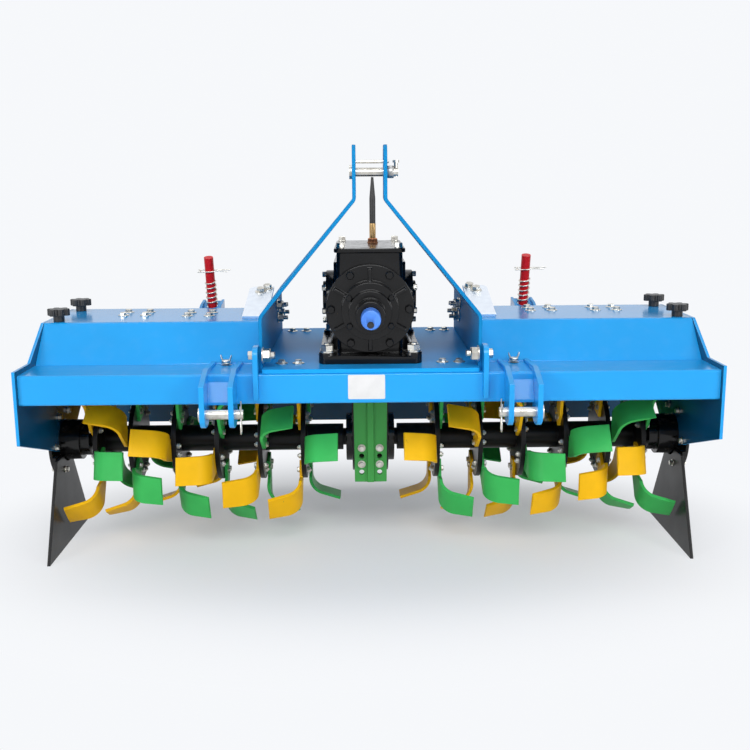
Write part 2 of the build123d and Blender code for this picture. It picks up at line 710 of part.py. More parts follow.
# Input flange: a ribbed disc, the bearing cap and the hub that the input shaft turns in
INPUT_PLANE = Plane(origin=(0, BOX_FRONT, PTO_Z), x_dir=(1, 0, 0), z_dir=(0, -1, 0))
RIB_START = 180 / INPUT_RIBS
CAP_DEPTH = BOX_FRONT - CAP_FRONT
HUB_DEPTH = BOX_FRONT - HUB_FRONT
with BuildPart() as input_flange:
    with BuildSketch(INPUT_PLANE):
        Circle(INPUT_FLANGE_R)
    extrude(amount=INPUT_FLANGE)
    with BuildSketch(INPUT_PLANE):
        Circle(CAP_R)
    extrude(amount=CAP_LEDGE)
    with BuildSketch(INPUT_PLANE):
        Circle(CAP_STEP_R)
    extrude(amount=CAP_DEPTH)
    with BuildSketch(INPUT_PLANE):
        Circle(HUB_R)
    extrude(amount=HUB_DEPTH)
    with BuildSketch(INPUT_PLANE.offset(INPUT_FLANGE)):
        with PolarLocations((CAP_STEP_R + INPUT_FLANGE_R - INPUT_RIB) / 2, INPUT_RIBS, RIB_START):
            Rectangle(INPUT_FLANGE_R - CAP_STEP_R - INPUT_RIB, INPUT_RIB)
    extrude(amount=(CAP_LEDGE - INPUT_FLANGE) / 2)
    with BuildSketch(INPUT_PLANE.offset(HUB_DEPTH)):
        Circle(PTO_R + RUNNING)
    extrude(amount=-PTO_DEPTH, mode=Mode.SUBTRACT)
input_flange.part.label = "input_flange"
export_step(input_flange.part, "parts/input_flange.step")

# Input shaft, splined where it stands out of the hub, and its cap
SHAFT_DEPTH = BOX_FRONT - PTO_FRONT
with BuildPart() as pto_shaft:
    with BuildSketch(INPUT_PLANE.offset(HUB_DEPTH - PTO_DEPTH + PTO_END_GAP)):
        Circle(PTO_R)
    extrude(amount=SHAFT_DEPTH - HUB_DEPTH + PTO_DEPTH - PTO_END_GAP)
    with BuildSketch(INPUT_PLANE.offset(SHAFT_DEPTH)):
        with PolarLocations(PTO_R, SPLINES):
            Rectangle(2 * SPLINE_DEPTH, SPLINE_GAP)
    extrude(amount=HUB_DEPTH - SHAFT_DEPTH, mode=Mode.SUBTRACT)
pto_shaft.part.label = "pto_shaft"
export_step(pto_shaft.part, "parts/pto_shaft.step")

with BuildPart() as pto_cap:
    with BuildSketch(INPUT_PLANE.offset(HUB_DEPTH + PTO_CAP_GAP)):
        Circle(PTO_CAP_R)
    extrude(amount=SHAFT_DEPTH - HUB_DEPTH - PTO_CAP_GAP + PTO_CAP_END)
    with BuildSketch(INPUT_PLANE.offset(HUB_DEPTH + PTO_CAP_GAP)):
        Circle(PTO_R)
    extrude(amount=SHAFT_DEPTH - HUB_DEPTH - PTO_CAP_GAP, mode=Mode.SUBTRACT)
pto_cap.part.label = "pto_cap"
export_step(pto_cap.part, "parts/pto_cap.step")

# Drive case below the deck, with the rotor's drive shaft through it
with BuildPart() as drive_case:
    with BuildSketch(Plane.YZ):
        with BuildLine():
            Polyline(
                (-CASE_R, ROTOR_Z),
                (-CASE_TOP_HALF, BEAM_TOP),
                (CASE_TOP_HALF, BEAM_TOP),
                (CASE_R, ROTOR_Z),
            )
            ThreePointArc((CASE_R, ROTOR_Z), (0, ROTOR_Z - CASE_R), (-CASE_R, ROTOR_Z))
        make_face()
    extrude(amount=CASE_HALF, both=True)
    with BuildSketch(ROTOR_AXIS.offset(-CASE_HALF - CASE_COVER)):
        Circle(CASE_COVER_R)
    extrude(amount=2 * (CASE_HALF + CASE_COVER))
    with BuildSketch(ROTOR_AXIS.offset(-CASE_HALF - CASE_COVER)):
        Circle(DRIVE_SHAFT_R + RUNNING)
    extrude(amount=2 * (CASE_HALF + CASE_COVER), mode=Mode.SUBTRACT)
drive_case.part.label = "drive_case"
export_step(drive_case.part, "parts/drive_case.step")

# Breather on the gearbox cover
COVER_TOP = BOX_TOP + COVER
with BuildPart() as breather_fitting:
    with BuildSketch(Plane.XY.offset(COVER_TOP)):
        with Locations((BREATHER_X, BREATHER_Y)):
            RegularPolygon(FITTING_NUT_R, 6)
    extrude(amount=FITTING_NUT)
    with BuildSketch(Plane.XY.offset(COVER_TOP + FITTING_NUT)):
        with Locations((BREATHER_X, BREATHER_Y)):
            Circle(FITTING_R)
    extrude(amount=FITTING - FITTING_NUT)
breather_fitting.part.label = "breather_fitting"
export_step(breather_fitting.part, "parts/breather_fitting.step")

with BuildPart() as breather_pipe:
    with BuildSketch(Plane.XY.offset(COVER_TOP + FITTING)):
        with Locations((BREATHER_X, BREATHER_Y)):
            Circle(PIPE_R)
    extrude(amount=PIPE)
    with BuildSketch(Plane.XY.offset(COVER_TOP + FITTING + PIPE)):
        with Locations((BREATHER_X, BREATHER_Y)):
            Circle(PIPE_R)
    with BuildSketch(Plane.XY.offset(COVER_TOP + FITTING + PIPE + PIPE_TIP)):
        with Locations((BREATHER_X, BREATHER_Y)):
            Circle(PIPE_TIP_R)
    loft()
breather_pipe.part.label = "breather_pipe"
export_step(breather_pipe.part, "parts/breather_pipe.step")

# Centre post that breaks the strip of soil in front of the drive case
POST_PLANE = Plane(origin=(0, POST_FRONT, 0), x_dir=(1, 0, 0), z_dir=(0, -1, 0))
with BuildPart() as centre_post:
    with BuildSketch(POST_PLANE):
        with BuildLine():
            Polyline(
                (-POST_LOW_HALF, POST_LOW),
                (-POST_HALF, BEAM_TOP),
                (POST_HALF, BEAM_TOP),
                (POST_LOW_HALF, POST_LOW),
                close=True,
            )
        make_face()
        with Locations((0, POST_HOLE_TOP - POST_HOLE_Z * (POST_HOLE_ROWS - 1) / 2)):
            with GridLocations(POST_HOLE_X, POST_HOLE_Z, 2, POST_HOLE_ROWS):
                Circle(POST_HOLE_R, mode=Mode.SUBTRACT)
    extrude(amount=-POST)
    with BuildSketch(POST_PLANE):
        with Locations((0, (POST_LOW + BEAM_TOP) / 2)):
            Rectangle(2 * POST_RIB_HALF, BEAM_TOP - POST_LOW)
    extrude(amount=POST_RIB, taper=POST_RIB_DRAFT)
centre_post.part.label = "centre_post"
export_step(centre_post.part, "parts/centre_post.step")

# Lobed knobs on the hood's ends
with BuildPart() as knobs:
    for side in SIDES.values():
        for y in (KNOB_FRONT, KNOB_FRONT + KNOB_PITCH):
            with BuildSketch(Plane.XY.offset(HOOD_TOP)):
                with Locations((side * KNOB_X, y)):
                    Circle(KNOB_STEM_R)
            extrude(amount=KNOB_STEM)
            with BuildSketch(Plane.XY.offset(HOOD_TOP + KNOB_STEM)):
                with Locations((side * KNOB_X, y)):
                    Circle(KNOB_R - KNOB_LOBE_R)
                    with PolarLocations(KNOB_R - KNOB_LOBE_R, KNOB_LOBES):
                        Circle(KNOB_LOBE_R)
            extrude(amount=KNOB)
knobs.part.label = "knobs"
export_step(knobs.part, "parts/knobs.step")

# Rear board: a curved sheet with hinge barrels and forks for the rods
BARRELS = (-BARREL_PITCH, 0, BARREL_PITCH)
FORK_INNER = ROD_EYE / 2 + FORK_GAP
with BuildPart() as rear_board:
    with BuildSketch(Plane.YZ.offset(-BOARD_HALF)):
        with BuildLine():
            ThreePointArc((BOARD_TOP_Y, BOARD_TOP_Z), (BOARD_MID_Y, BOARD_MID_Z), (BOARD_LOW_Y, BOARD_LOW_Z))
            offset(amount=BOARD, side=Side.RIGHT)
        make_face()
    extrude(amount=2 * BOARD_HALF)
    for x in BARRELS:
        with BuildSketch(Plane.YZ.offset(x - BARREL / 2)):
            with Locations((HINGE_Y, HINGE_Z)):
                Circle(BARREL_R)
            with BuildLine():
                Polyline(
                    (HINGE_Y, HINGE_Z),
                    (HINGE_Y + BARREL_R, HINGE_Z),
                    (BOARD_TOP_Y, BOARD_TOP_Z - BOARD),
                    (BOARD_TOP_Y - BOARD, BOARD_TOP_Z - BOARD),
                    (HINGE_Y, HINGE_Z - BARREL_R),
                    close=True,
                )
            make_face()
            with Locations((HINGE_Y, HINGE_Z)):
                Circle(HINGE_R + RUNNING, mode=Mode.SUBTRACT)
        extrude(amount=BARREL)
    for side in SIDES.values():
        for way in (-1, 1):
            fork_x = side * ROD_X + way * (FORK_INNER + FORK / 2)
            with BuildSketch(Plane.YZ.offset(fork_x - FORK / 2)):
                with BuildLine():
                    Polyline(
                        (BOARD_MID_Y - BOARD, ROD_EYE_Z + 2 * ROD_EYE_R),
                        (BOARD_MID_Y + BOARD, ROD_EYE_Z - 2 * ROD_EYE_R),
                        (ROD_EYE_Y, ROD_EYE_Z - ROD_EYE_R),
                        (ROD_EYE_Y, ROD_EYE_Z + ROD_EYE_R),
                        close=True,
                    )
                make_face()
                with Locations((ROD_EYE_Y, ROD_EYE_Z)):
                    Circle(ROD_EYE_R)
            extrude(amount=FORK)
        with BuildSketch(Plane.YZ.offset(side * ROD_X - FORK_INNER)):
            with Locations((ROD_EYE_Y, ROD_EYE_Z)):
                Circle(ROD_PIN_R)
        extrude(amount=2 * FORK_INNER)
rear_board.part.label = "rear_board"
export_step(rear_board.part, "parts/rear_board.step")

# Hinge lugs on the rear lip, each pair with its pin
with BuildPart() as board_hinges:
    for x in BARRELS:
        for way in (-1, 1):
            lug_x = x + way * (BARREL / 2 + HINGE_LUG_GAP + HINGE_LUG / 2)
            with BuildSketch(Plane.YZ.offset(lug_x - HINGE_LUG / 2)):
                with Locations((HINGE_Y, HINGE_Z)):
                    Circle(HINGE_LUG_R)
                with Locations(((HOOD_REAR + HINGE_Y) / 2, HINGE_Z)):
                    Rectangle(HINGE_Y - HOOD_REAR, 2 * HINGE_LUG_R)
            extrude(amount=HINGE_LUG)
        pin_half = BARREL / 2 + HINGE_LUG_GAP
        with BuildSketch(Plane.YZ.offset(x - pin_half)):
            with Locations((HINGE_Y, HINGE_Z)):
                Circle(HINGE_R)
        extrude(amount=2 * pin_half)
board_hinges.part.label = "board_hinges"
export_step(board_hinges.part, "parts/board_hinges.step")

# Rod brackets on the hood's rear slope, with a slotted seat square to the rod
ROD_DIRECTION = Vector(0, ROD_SEAT_Y - ROD_EYE_Y, ROD_SEAT_Z - ROD_EYE_Z)
ROD_TO_SEAT = ROD_DIRECTION.length
SLOPE = (HOOD_TOP - HOOD_REAR_TOP) / (HOOD_REAR - HOOD_BACK)
EAR_FOOT_Z = HOOD_TOP - SLOPE * (EAR_FOOT - HOOD_BACK)
for name, side in SIDES.items():
    SEAT_PLANE = Plane(
        origin=(side * ROD_X, ROD_SEAT_Y, ROD_SEAT_Z), x_dir=(1, 0, 0), z_dir=ROD_DIRECTION
    )
    with BuildPart() as rod_bracket:
        with BuildSketch(SEAT_PLANE):
            Rectangle(SEAT_WIDTH, SEAT_LENGTH)
            SlotOverall(SEAT_SLOT, SEAT_SLOT_WIDTH, rotation=90, mode=Mode.SUBTRACT)
        extrude(amount=SEAT / 2, both=True)
        for way in (-1, 1):
            ear_x = side * ROD_X + way * (SEAT_WIDTH / 2 + EAR / 2)
            with BuildSketch(Plane.YZ.offset(ear_x - EAR / 2)):
                with BuildLine():
                    Polyline(
                        (EAR_FOOT, EAR_FOOT_Z),
                        (ROD_SEAT_Y - SEAT_LENGTH / 2, ROD_SEAT_Z + SEAT),
                        (ROD_SEAT_Y + SEAT_LENGTH / 2, ROD_SEAT_Z + 2 * SEAT),
                        (ROD_SEAT_Y + SEAT_LENGTH / 2, ROD_SEAT_Z - SEAT),
                        (HOOD_REAR, HOOD_REAR_TOP),
                        close=True,
                    )
                make_face()
            extrude(amount=EAR)
    rod_bracket.part.label = f"rod_bracket_{name}"
    export_step(rod_bracket.part, f"parts/rod_bracket_{name}.step")

    EYE_PLANE = Plane(origin=(side * ROD_X, ROD_EYE_Y, ROD_EYE_Z), x_dir=(1, 0, 0), z_dir=ROD_DIRECTION)
    with BuildPart() as spring_rod:
        with BuildSketch(EYE_PLANE):
            Circle(ROD_R)
        extrude(amount=ROD_TO_SEAT + ROD_OVER_SEAT)
        with BuildSketch(Plane.YZ.offset(side * ROD_X - ROD_EYE / 2)):
            with Locations((ROD_EYE_Y, ROD_EYE_Z)):
                Circle(ROD_EYE_R)
        extrude(amount=ROD_EYE)
        with BuildSketch(Plane.YZ.offset(side * ROD_X - ROD_EYE)):
            with Locations((ROD_EYE_Y, ROD_EYE_Z)):
                Circle(ROD_PIN_R + RUNNING)
        extrude(amount=2 * ROD_EYE, mode=Mode.SUBTRACT)
    spring_rod.part.label = f"spring_rod_{name}"
    export_step(spring_rod.part, f"parts/spring_rod_{name}.step")

    with BuildPart() as rod_spring:
        with BuildSketch(EYE_PLANE.offset(ROD_TO_SEAT + SEAT / 2 + SPRING_LIFT)):
            Circle(SPRING_R)
            Circle(ROD_R, mode=Mode.SUBTRACT)
        extrude(amount=SPRING)
        with BuildSketch(EYE_PLANE.offset(ROD_TO_SEAT + SEAT / 2 + SPRING_LIFT + SPRING)):
            Circle(WASHER_R)
            Circle(ROD_R, mode=Mode.SUBTRACT)
        extrude(amount=WASHER)
    rod_spring.part.label = f"rod_spring_{name}"
    export_step(rod_spring.part, f"parts/rod_spring_{name}.step")
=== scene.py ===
"""Rotary tiller for a three-point hitch, dressed over its CAD frame and set on a pale floor."""

import math

import bmesh
import bpy
from bpy.props import FloatProperty, FloatVectorProperty, PointerProperty
from mathutils import Matrix, Vector


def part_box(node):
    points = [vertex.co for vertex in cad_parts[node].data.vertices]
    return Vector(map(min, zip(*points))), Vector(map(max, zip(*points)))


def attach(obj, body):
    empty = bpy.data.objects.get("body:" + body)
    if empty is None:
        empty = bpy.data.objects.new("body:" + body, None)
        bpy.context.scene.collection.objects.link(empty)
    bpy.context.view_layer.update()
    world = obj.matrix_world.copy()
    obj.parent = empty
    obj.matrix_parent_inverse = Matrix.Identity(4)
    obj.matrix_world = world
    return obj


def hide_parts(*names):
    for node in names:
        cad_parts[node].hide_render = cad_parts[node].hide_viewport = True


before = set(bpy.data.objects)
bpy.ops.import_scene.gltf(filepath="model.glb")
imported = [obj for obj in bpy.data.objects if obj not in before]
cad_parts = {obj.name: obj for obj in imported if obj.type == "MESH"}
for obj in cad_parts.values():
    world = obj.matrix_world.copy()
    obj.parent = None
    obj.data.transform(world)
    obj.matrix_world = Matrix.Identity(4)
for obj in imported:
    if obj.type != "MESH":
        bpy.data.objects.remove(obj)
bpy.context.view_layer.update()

bl_info = {
    "name": "Rotary tiller",
    "version": (1, 0, 0),
    "blender": (4, 5, 0),
    "location": "View3D > Sidebar > Tiller",
    "description": "Dresses a rotary tiller with paint, castings, fasteners, springs and clips",
    "category": "Object",
}

ACROSS = Vector((1, 0, 0))
FORWARD = Vector((0, -1, 0))
UP = Vector((0, 0, 1))
SIDES = {"left": -1, "right": 1}

ROTOR_HEIGHT = 0.2665
FLANGES = (0.170, 0.2785, 0.387, 0.4955, 0.604, 0.692)
FIRST_TINE_ANGLE = 161.0
FLANGE_STEP_ANGLE = 21.5
TINE_BOLT_CIRCLE = 0.086
TINE_BOLT_HALF_SPACE = 0.012
TINE_FACE = 0.014
FLANGE_FACE = 0.006
ROD_SEAT = Vector((0.450, 0.338, 0.571))
ROD_EYE = Vector((0.450, 0.412, 0.322))
ROD_LINE = (ROD_SEAT - ROD_EYE).normalized()
INPUT_CENTRE = Vector((0, 0, 0.633))
INPUT_FLANGE_FACE = 0.240
INPUT_FLANGE_CIRCLE = 0.0905
INPUT_CAP_FACE = 0.284
INPUT_CAP_CIRCLE = 0.0575
INPUT_CAP_ANGLES = (33, 147, 215, 325)
SIDE_COVER = Vector((0.105, -0.095, 0.645))
SIDE_COVER_CIRCLE = 0.056
CASE_TOP = 0.772
CASE_BASE_TOP = 0.535
CAP_HOLE = Vector((-0.001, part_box("pto_cap")[0][1], 0.6225))
HOOD_TOP = 0.588
HOOD_BOLT_GROUPS = ((-0.604, 0.049), (-0.437, 0.029), (0.452, 0.082), (0.622, 0.081))
HOOD_BOLT_HALF_SPACE = (0.028, 0.030)
DECK_TOP = 0.5085
DECK_BOLTS_ACROSS = (0.168, 0.207)
DECK_BOLT_ROW = 0.251
DECK_REAR_SHIFT = 0.007
MAST_INNER_FACE = 0.246
MAST_NUTS = ((0.120, 0.600), (0.165, 0.596), (0.205, 0.570), (0.150, 0.562))
LUG_OUTER_FACE = 0.266
LUG_BOLT = Vector((0, -0.305, 0.538))
STRAP_FOOT = Vector((0, -0.063, 0.588))
STRAP_RISE = math.radians(14)
STRAP_THICKNESS = 0.008
STRAP_BOLTS = ((0.270, 0.196), (0.286, 0.172))
BEARING_BOLT_CIRCLE = 0.080
BEARING_INNER_FACE = 0.798
STAND_INNER_FACE = 0.790
BEARING_OUTER_FACE = 0.814
POST_FACE = -0.124
POST_BOLT_HALF_SPACE = 0.0225
POST_BOLT_HEIGHTS = (0.268, 0.226)
TOP_PIN = Vector((0, -0.325, 0.944))
SPACER_LIFT = 0.022
LINCH_PIN = Vector((0.0575, -0.325, 0.949))
LINCH_PIN_LENGTH = 0.030
HITCH_CLIP = Vector((0.2905, -0.370, 0.416))
WING_NUT = Vector((0.3415, -0.207, 0.4985))
PLATE_CENTRE = (-0.010, -0.3256, 0.4665)
PLATE_SIZE = (0.084, 0.0012, 0.056)
CAMERA_SPOT = (-0.0236, -2.5314, 0.9288)
CAMERA_SWING, CAMERA_DIP, CAMERA_ROLL = -0.014875, 0.19463, -0.006467
CAMERA_LENS = 47.7
LAMP_TARGET = Vector((0, 0, 0.4))


def colour_property(name, description, default):
    return FloatVectorProperty(
        name=name, description=description, default=default, subtype="COLOR", min=0, max=1
    )


def length_property(name, description, default):
    return FloatProperty(
        name=name, description=description, default=default, subtype="DISTANCE", unit="LENGTH"
    )


class TillerColours(bpy.types.PropertyGroup):
    """Paint and plastic colours."""

    blue: colour_property("Frame blue", "Gloss paint of hood, beams and mast", (0.013, 0.345, 0.80))
    yellow: colour_property("Tine yellow", "Paint of the left-turned tines", (0.92, 0.50, 0.008))
    leaf: colour_property("Tine green", "Paint of the right-turned tines", (0.050, 0.47, 0.105))
    green: colour_property("Post green", "Paint of the centre post", (0.048, 0.30, 0.042))
    red: colour_property("Rod red", "Paint of the spring rods", (0.70, 0.015, 0.02))
    cap: colour_property("Cap blue", "Plastic of the shaft cap", (0.06, 0.22, 0.75))
    floor: colour_property("Floor", "Pale floor under the machine", (0.90, 0.91, 0.93))
    backdrop: colour_property("Backdrop", "Far wall of the studio", (0.925, 0.94, 0.965))


class TillerSizes(bpy.types.PropertyGroup):
    """Sizes of the small fittings."""

    small_bolt: length_property("Small bolt", "Width across flats of the hood bolts", 0.013)
    case_bolt: length_property("Case bolt", "Width across flats of the gearbox bolts", 0.017)
    base_nut: length_property("Base nut", "Width across flats of the gearbox base nuts", 0.027)
    tine_bolt: length_property("Tine bolt", "Width across flats of the tine bolts", 0.012)
    soft_edge: length_property("Soft edge", "Rounding of cut plate edges", 0.0012)
    spring_wire: length_property("Spring wire", "Thickness of the rod springs' wire", 0.0042)
    clip_wire: length_property("Clip wire", "Thickness of the clips' wire", 0.0032)


class Wire:
    """The output of a shader node, on which sums can be written."""

    def __init__(self, finish, socket):
        self.finish = finish
        self.socket = socket

    def sum(self, operation, first, second):
        return self.finish.node("ShaderNodeMath", {"operation": operation}, {0: first, 1: second})

    def __add__(self, other):
        return self.sum("ADD", self, other)

    def __radd__(self, other):
        return self.sum("ADD", other, self)

    def __sub__(self, other):
        return self.sum("SUBTRACT", self, other)

    def __rsub__(self, other):
        return self.sum("SUBTRACT", other, self)

    def __mul__(self, other):
        return self.sum("MULTIPLY", self, other)

    def __rmul__(self, other):
        return self.sum("MULTIPLY", other, self)

    def rise(self, low, high):
        """From 0 below low to 1 above high, smoothly."""
        return self.finish.node(
            "ShaderNodeMapRange",
            {"interpolation_type": "SMOOTHSTEP"},
            {"Value": self, "From Min": low, "From Max": high},
        )


class Finish:
    """A material and the nodes that draw it."""

    def __init__(self, name):
        self.material = bpy.data.materials.new(name)
        self.material.use_nodes = True
        self.tree = self.material.node_tree
        self.tree.nodes.clear()
        self.end = self.tree.nodes.new("ShaderNodeOutputMaterial")
        self.shader = self.tree.nodes.new("ShaderNodeBsdfPrincipled")
        self.tree.links.new(self.shader.outputs[0], self.end.inputs[0])

    def feed(self, socket, value):
        if isinstance(value, Wire):
            self.tree.links.new(value.socket, socket)
        else:
            socket.default_value = value

    def node(self, kind, settings=None, inputs=None, out=0):
        made = self.tree.nodes.new(kind)
        for name, value in (settings or {}).items():
            setattr(made, name, value)
        for name, value in (inputs or {}).items():
            self.feed(made.inputs[name], value)
        return Wire(self, made.outputs[out])

    def put(self, **values):
        """Sets or links the shader's own sockets, with spaces written as underscores."""
        for name, value in values.items():
            self.feed(self.shader.inputs[name.replace("_", " ")], value)
        return self

    def spot(self, stretch=(1, 1, 1)):
        place = self.node("ShaderNodeTexCoord", out="Object")
        return self.node("ShaderNodeMapping", inputs={"Vector": place, "Scale": stretch})

    def noise(self, scale, detail=3.0, stretch=(1, 1, 1)):
        return self.node(
            "ShaderNodeTexNoise",
            inputs={"Vector": self.spot(stretch), "Scale": scale, "Detail": detail},
        )

    def part(self, output, axis):
        """One part of the piece's own normal or place."""
        vector = self.node("ShaderNodeTexCoord", out=output)
        return self.node("ShaderNodeSeparateXYZ", inputs={0: vector}, out=axis)

    def upward(self):
        return self.part("Normal", "Z")

    def blend(self, share, first, second):
        return self.node(
            "ShaderNodeMix", {"data_type": "RGBA"}, {0: share, 6: first, 7: second}, out=2
        )

    def bump(self, height, distance):
        sockets = {"Height": height, "Distance": distance, "Strength": 1.0}
        return self.node("ShaderNodeBump", inputs=sockets)


def tint(colour, share):
    return tuple(min(1.0, part * share) for part in colour) + (1.0,)


def paint(name, colour, roughness=0.16, sheen=0.32, shade_mask=None):
    """Sprayed gloss paint with slow drifts of tone, a film of dust on top and, where a shade mask is
    given, painted shade on the faces it picks.
    """
    finish = Finish(name)
    drift = finish.noise(4.0, 3.0)
    speck = finish.noise(160.0, 2.0)
    base = finish.blend(drift.rise(0.35, 0.65), tint(colour, 0.96), tint(colour, 1.03))
    film = finish.upward().rise(0.4, 0.95) * finish.noise(30.0, 5.0).rise(0.46, 0.72) * 0.02
    base = finish.blend(film, base, (0.72, 0.74, 0.76, 1))
    # Painted shade: the masked faces are darkened to a fifth of the paint's colour.
    if shade_mask:
        base = finish.blend(shade_mask(finish), base, tint(colour, 0.2))
    skin = finish.noise(140.0, 2.0)
    finish.put(
        Base_Color=base,
        Roughness=roughness + 0.04 * speck + 0.3 * film,
        Normal=finish.bump(skin, 0.000006),
        Specular_IOR_Level=sheen,
    )
    return finish.material


def below(finish):
    """Faces that look down, where painted shade goes."""
    return finish.part("Normal", "Z").rise(-0.3, -0.5)


def ahead(finish):
    """Faces that look to the front, where painted shade goes."""
    return finish.part("Normal", "Y").rise(-0.3, -0.6)


def within(finish):
    """Side faces that look to the middle of the machine, where painted shade goes."""
    return (finish.part("Normal", "X") * finish.part("Object", "X")).rise(-0.1, -0.4)


def tine_paint(name, colour):
    """Thin paint on forged steel: dull in patches, scuffed to bare metal in a few spots."""
    finish = Finish(name)
    drift = finish.noise(11.0, 4.0)
    base = finish.blend(drift.rise(0.3, 0.7), tint(colour, 0.92), tint(colour, 1.05))
    scuff = finish.noise(70.0, 6.0, (1, 1, 0.35)).rise(0.72, 0.78)
    base = finish.blend(0.7 * scuff, base, (0.10, 0.075, 0.045, 1))
    hammer = finish.noise(120.0, 3.0)
    finish.put(
        Base_Color=base,
        Roughness=0.36 + 0.12 * drift + 0.2 * scuff,
        Normal=finish.bump(hammer, 0.00012),
        Specular_IOR_Level=0.12,
    )
    return finish.material


def casting(name, roughness, pebble, sheen):
    """Black paint over cast iron or rolled steel, with a pebbled skin."""
    finish = Finish(name)
    drift = finish.noise(14.0, 4.0)
    base = finish.blend(drift.rise(0.3, 0.75), (0.003, 0.003, 0.0035, 1), (0.007, 0.007, 0.0075, 1))
    film = finish.upward().rise(0.5, 0.95) * finish.noise(45.0, 5.0).rise(0.48, 0.75)
    base = finish.blend(0.10 * film, base, (0.30, 0.29, 0.27, 1))
    grain = finish.noise(240.0, 4.0)
    finish.put(
        Base_Color=base,
        Roughness=roughness + 0.14 * drift + 0.2 * film,
        Normal=finish.bump(grain, pebble),
        Specular_IOR_Level=sheen,
    )
    return finish.material


def plated(name, light, dark, roughness, stain=0.25):
    """Plated steel: cloudy zinc with fine streaks and a little stain."""
    finish = Finish(name)
    cloud = finish.noise(55.0, 4.0)
    streak = finish.noise(300.0, 2.0)
    base = finish.blend(cloud.rise(0.32, 0.7), dark + (1.0,), light + (1.0,))
    spot = finish.noise(130.0, 5.0).rise(0.62, 0.74)
    base = finish.blend(stain * spot, base, (0.34, 0.30, 0.22, 1))
    finish.put(
        Base_Color=base,
        Metallic=1.0 - 0.2 * spot,
        Roughness=roughness + 0.12 * cloud + 0.08 * streak,
        Normal=finish.bump(streak, 0.00003 * stain),
    )
    return finish.material


def plastic(name, colour, roughness, grain):
    """Moulded plastic with a fine sparked texture."""
    finish = Finish(name)
    drift = finish.noise(25.0, 3.0)
    base = finish.blend(drift.rise(0.3, 0.7), tint(colour, 0.9), tint(colour, 1.08))
    texture = finish.noise(700.0, 2.0)
    finish.put(
        Base_Color=base,
        Roughness=roughness + 0.1 * drift,
        Normal=finish.bump(texture, grain),
    )
    return finish.material


def plate_white(name):
    """White enamel on a thin plate, a little lighter toward dull patches."""
    finish = Finish(name)
    drift = finish.noise(40.0, 4.0)
    base = finish.blend(drift.rise(0.3, 0.7), (0.70, 0.70, 0.70, 1), (0.74, 0.74, 0.74, 1))
    finish.put(
        Base_Color=base,
        Roughness=0.32 + 0.1 * drift,
        Normal=finish.bump(finish.noise(600.0, 2.0), 0.00002),
    )
    return finish.material


def clear():
    """Back to object mode with nothing selected."""
    if bpy.context.object and bpy.context.object.mode != "OBJECT":
        bpy.ops.object.mode_set(mode="OBJECT")
    bpy.ops.object.select_all(action="DESELECT")


def only(piece):
    clear()
    piece.select_set(True)
    bpy.context.view_layer.objects.active = piece


def begin(name, add, **sizes):
    """A primitive at its place, its origin put at the frame's origin, left in edit mode."""
    clear()
    add(**sizes)
    piece = bpy.context.object
    piece.name = name
    bpy.ops.object.transform_apply(location=True, rotation=True, scale=True)
    bpy.ops.object.mode_set(mode="EDIT")
    return piece


def pick(kind, test):
    """Selects the faces, edges or points that pass the test, and nothing else."""
    bpy.ops.mesh.select_mode(type=kind)
    bpy.ops.mesh.select_all(action="DESELECT")
    drawn = bmesh.from_edit_mesh(bpy.context.object.data)
    drawn.normal_update()
    for part in {"FACE": drawn.faces, "EDGE": drawn.edges, "VERT": drawn.verts}[kind]:
        if test(part):
            part.select_set(True)
    drawn.select_flush_mode()
    bmesh.update_edit_mesh(bpy.context.object.data)


def level(edge, height):
    return all(abs(point.co.z - height) < 1e-6 for point in edge.verts)


def finish_piece(piece, angle=40, recalculate=False):
    if recalculate:
        bpy.ops.mesh.select_all(action="SELECT")
        bpy.ops.mesh.remove_doubles(threshold=1e-6)
        bpy.ops.mesh.normals_make_consistent(inside=False)
    only(piece)
    bpy.ops.object.shade_smooth_by_angle(angle=math.radians(angle))
    return piece


def modify(piece, kind, **settings):
    """Adds a modifier, sets it and applies it."""
    only(piece)
    bpy.ops.object.modifier_add(type=kind)
    modifier = piece.modifiers[-1]
    for name, value in settings.items():
        setattr(modifier, name, value)
    bpy.ops.object.modifier_apply(modifier=modifier.name)


def place(point, axis=UP, turn=0.0):
    """The move that seats a pattern at a point, its upward axis turned to another."""
    axis = Vector(axis)
    tip = UP.rotation_difference(axis).to_matrix().to_4x4()
    return Matrix.Translation(Vector(point)) @ tip @ Matrix.Rotation(turn, 4, "Z")


def set_out(pattern, name, places):
    """Copies of a pattern at every place, joined into one piece; the pattern itself is removed."""
    clear()
    for number, move in enumerate(places):
        copy = bpy.data.objects.new(f"{name}_{number}", pattern.data.copy())
        copy.data.transform(move)
        bpy.context.collection.objects.link(copy)
        copy.select_set(True)
        bpy.context.view_layer.objects.active = copy
    if len(places) > 1:
        bpy.ops.object.join()
    piece = bpy.context.object
    piece.name = name
    bpy.data.objects.remove(pattern)
    return piece


def dress(piece, material, body="frame", nodes=()):
    """Gives a finished piece its paint, the body it rides on and the nodes it stands for."""
    piece.data.materials.clear()
    piece.data.materials.append(bpy.data.materials[material])
    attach(piece, body)
    if nodes:
        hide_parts(*nodes)
    return piece


def galvanise(piece, body="frame", nodes=()):
    """Bright zinc, the finish of nearly all the small fittings."""
    return dress(piece, "bright_zinc", body, nodes)


def spoke(first, second, angle):
    """The direction at an angle in degrees, turning from the first axis to the second."""
    return first * math.cos(math.radians(angle)) + second * math.sin(math.radians(angle))


def ground(edge):
    """True where two broad flats of a tine meet at a slight crease."""
    flats = [face.calc_area() > 6e-4 for face in edge.link_faces]
    return len(flats) == 2 and all(flats) and edge.calc_face_angle() > math.radians(5)


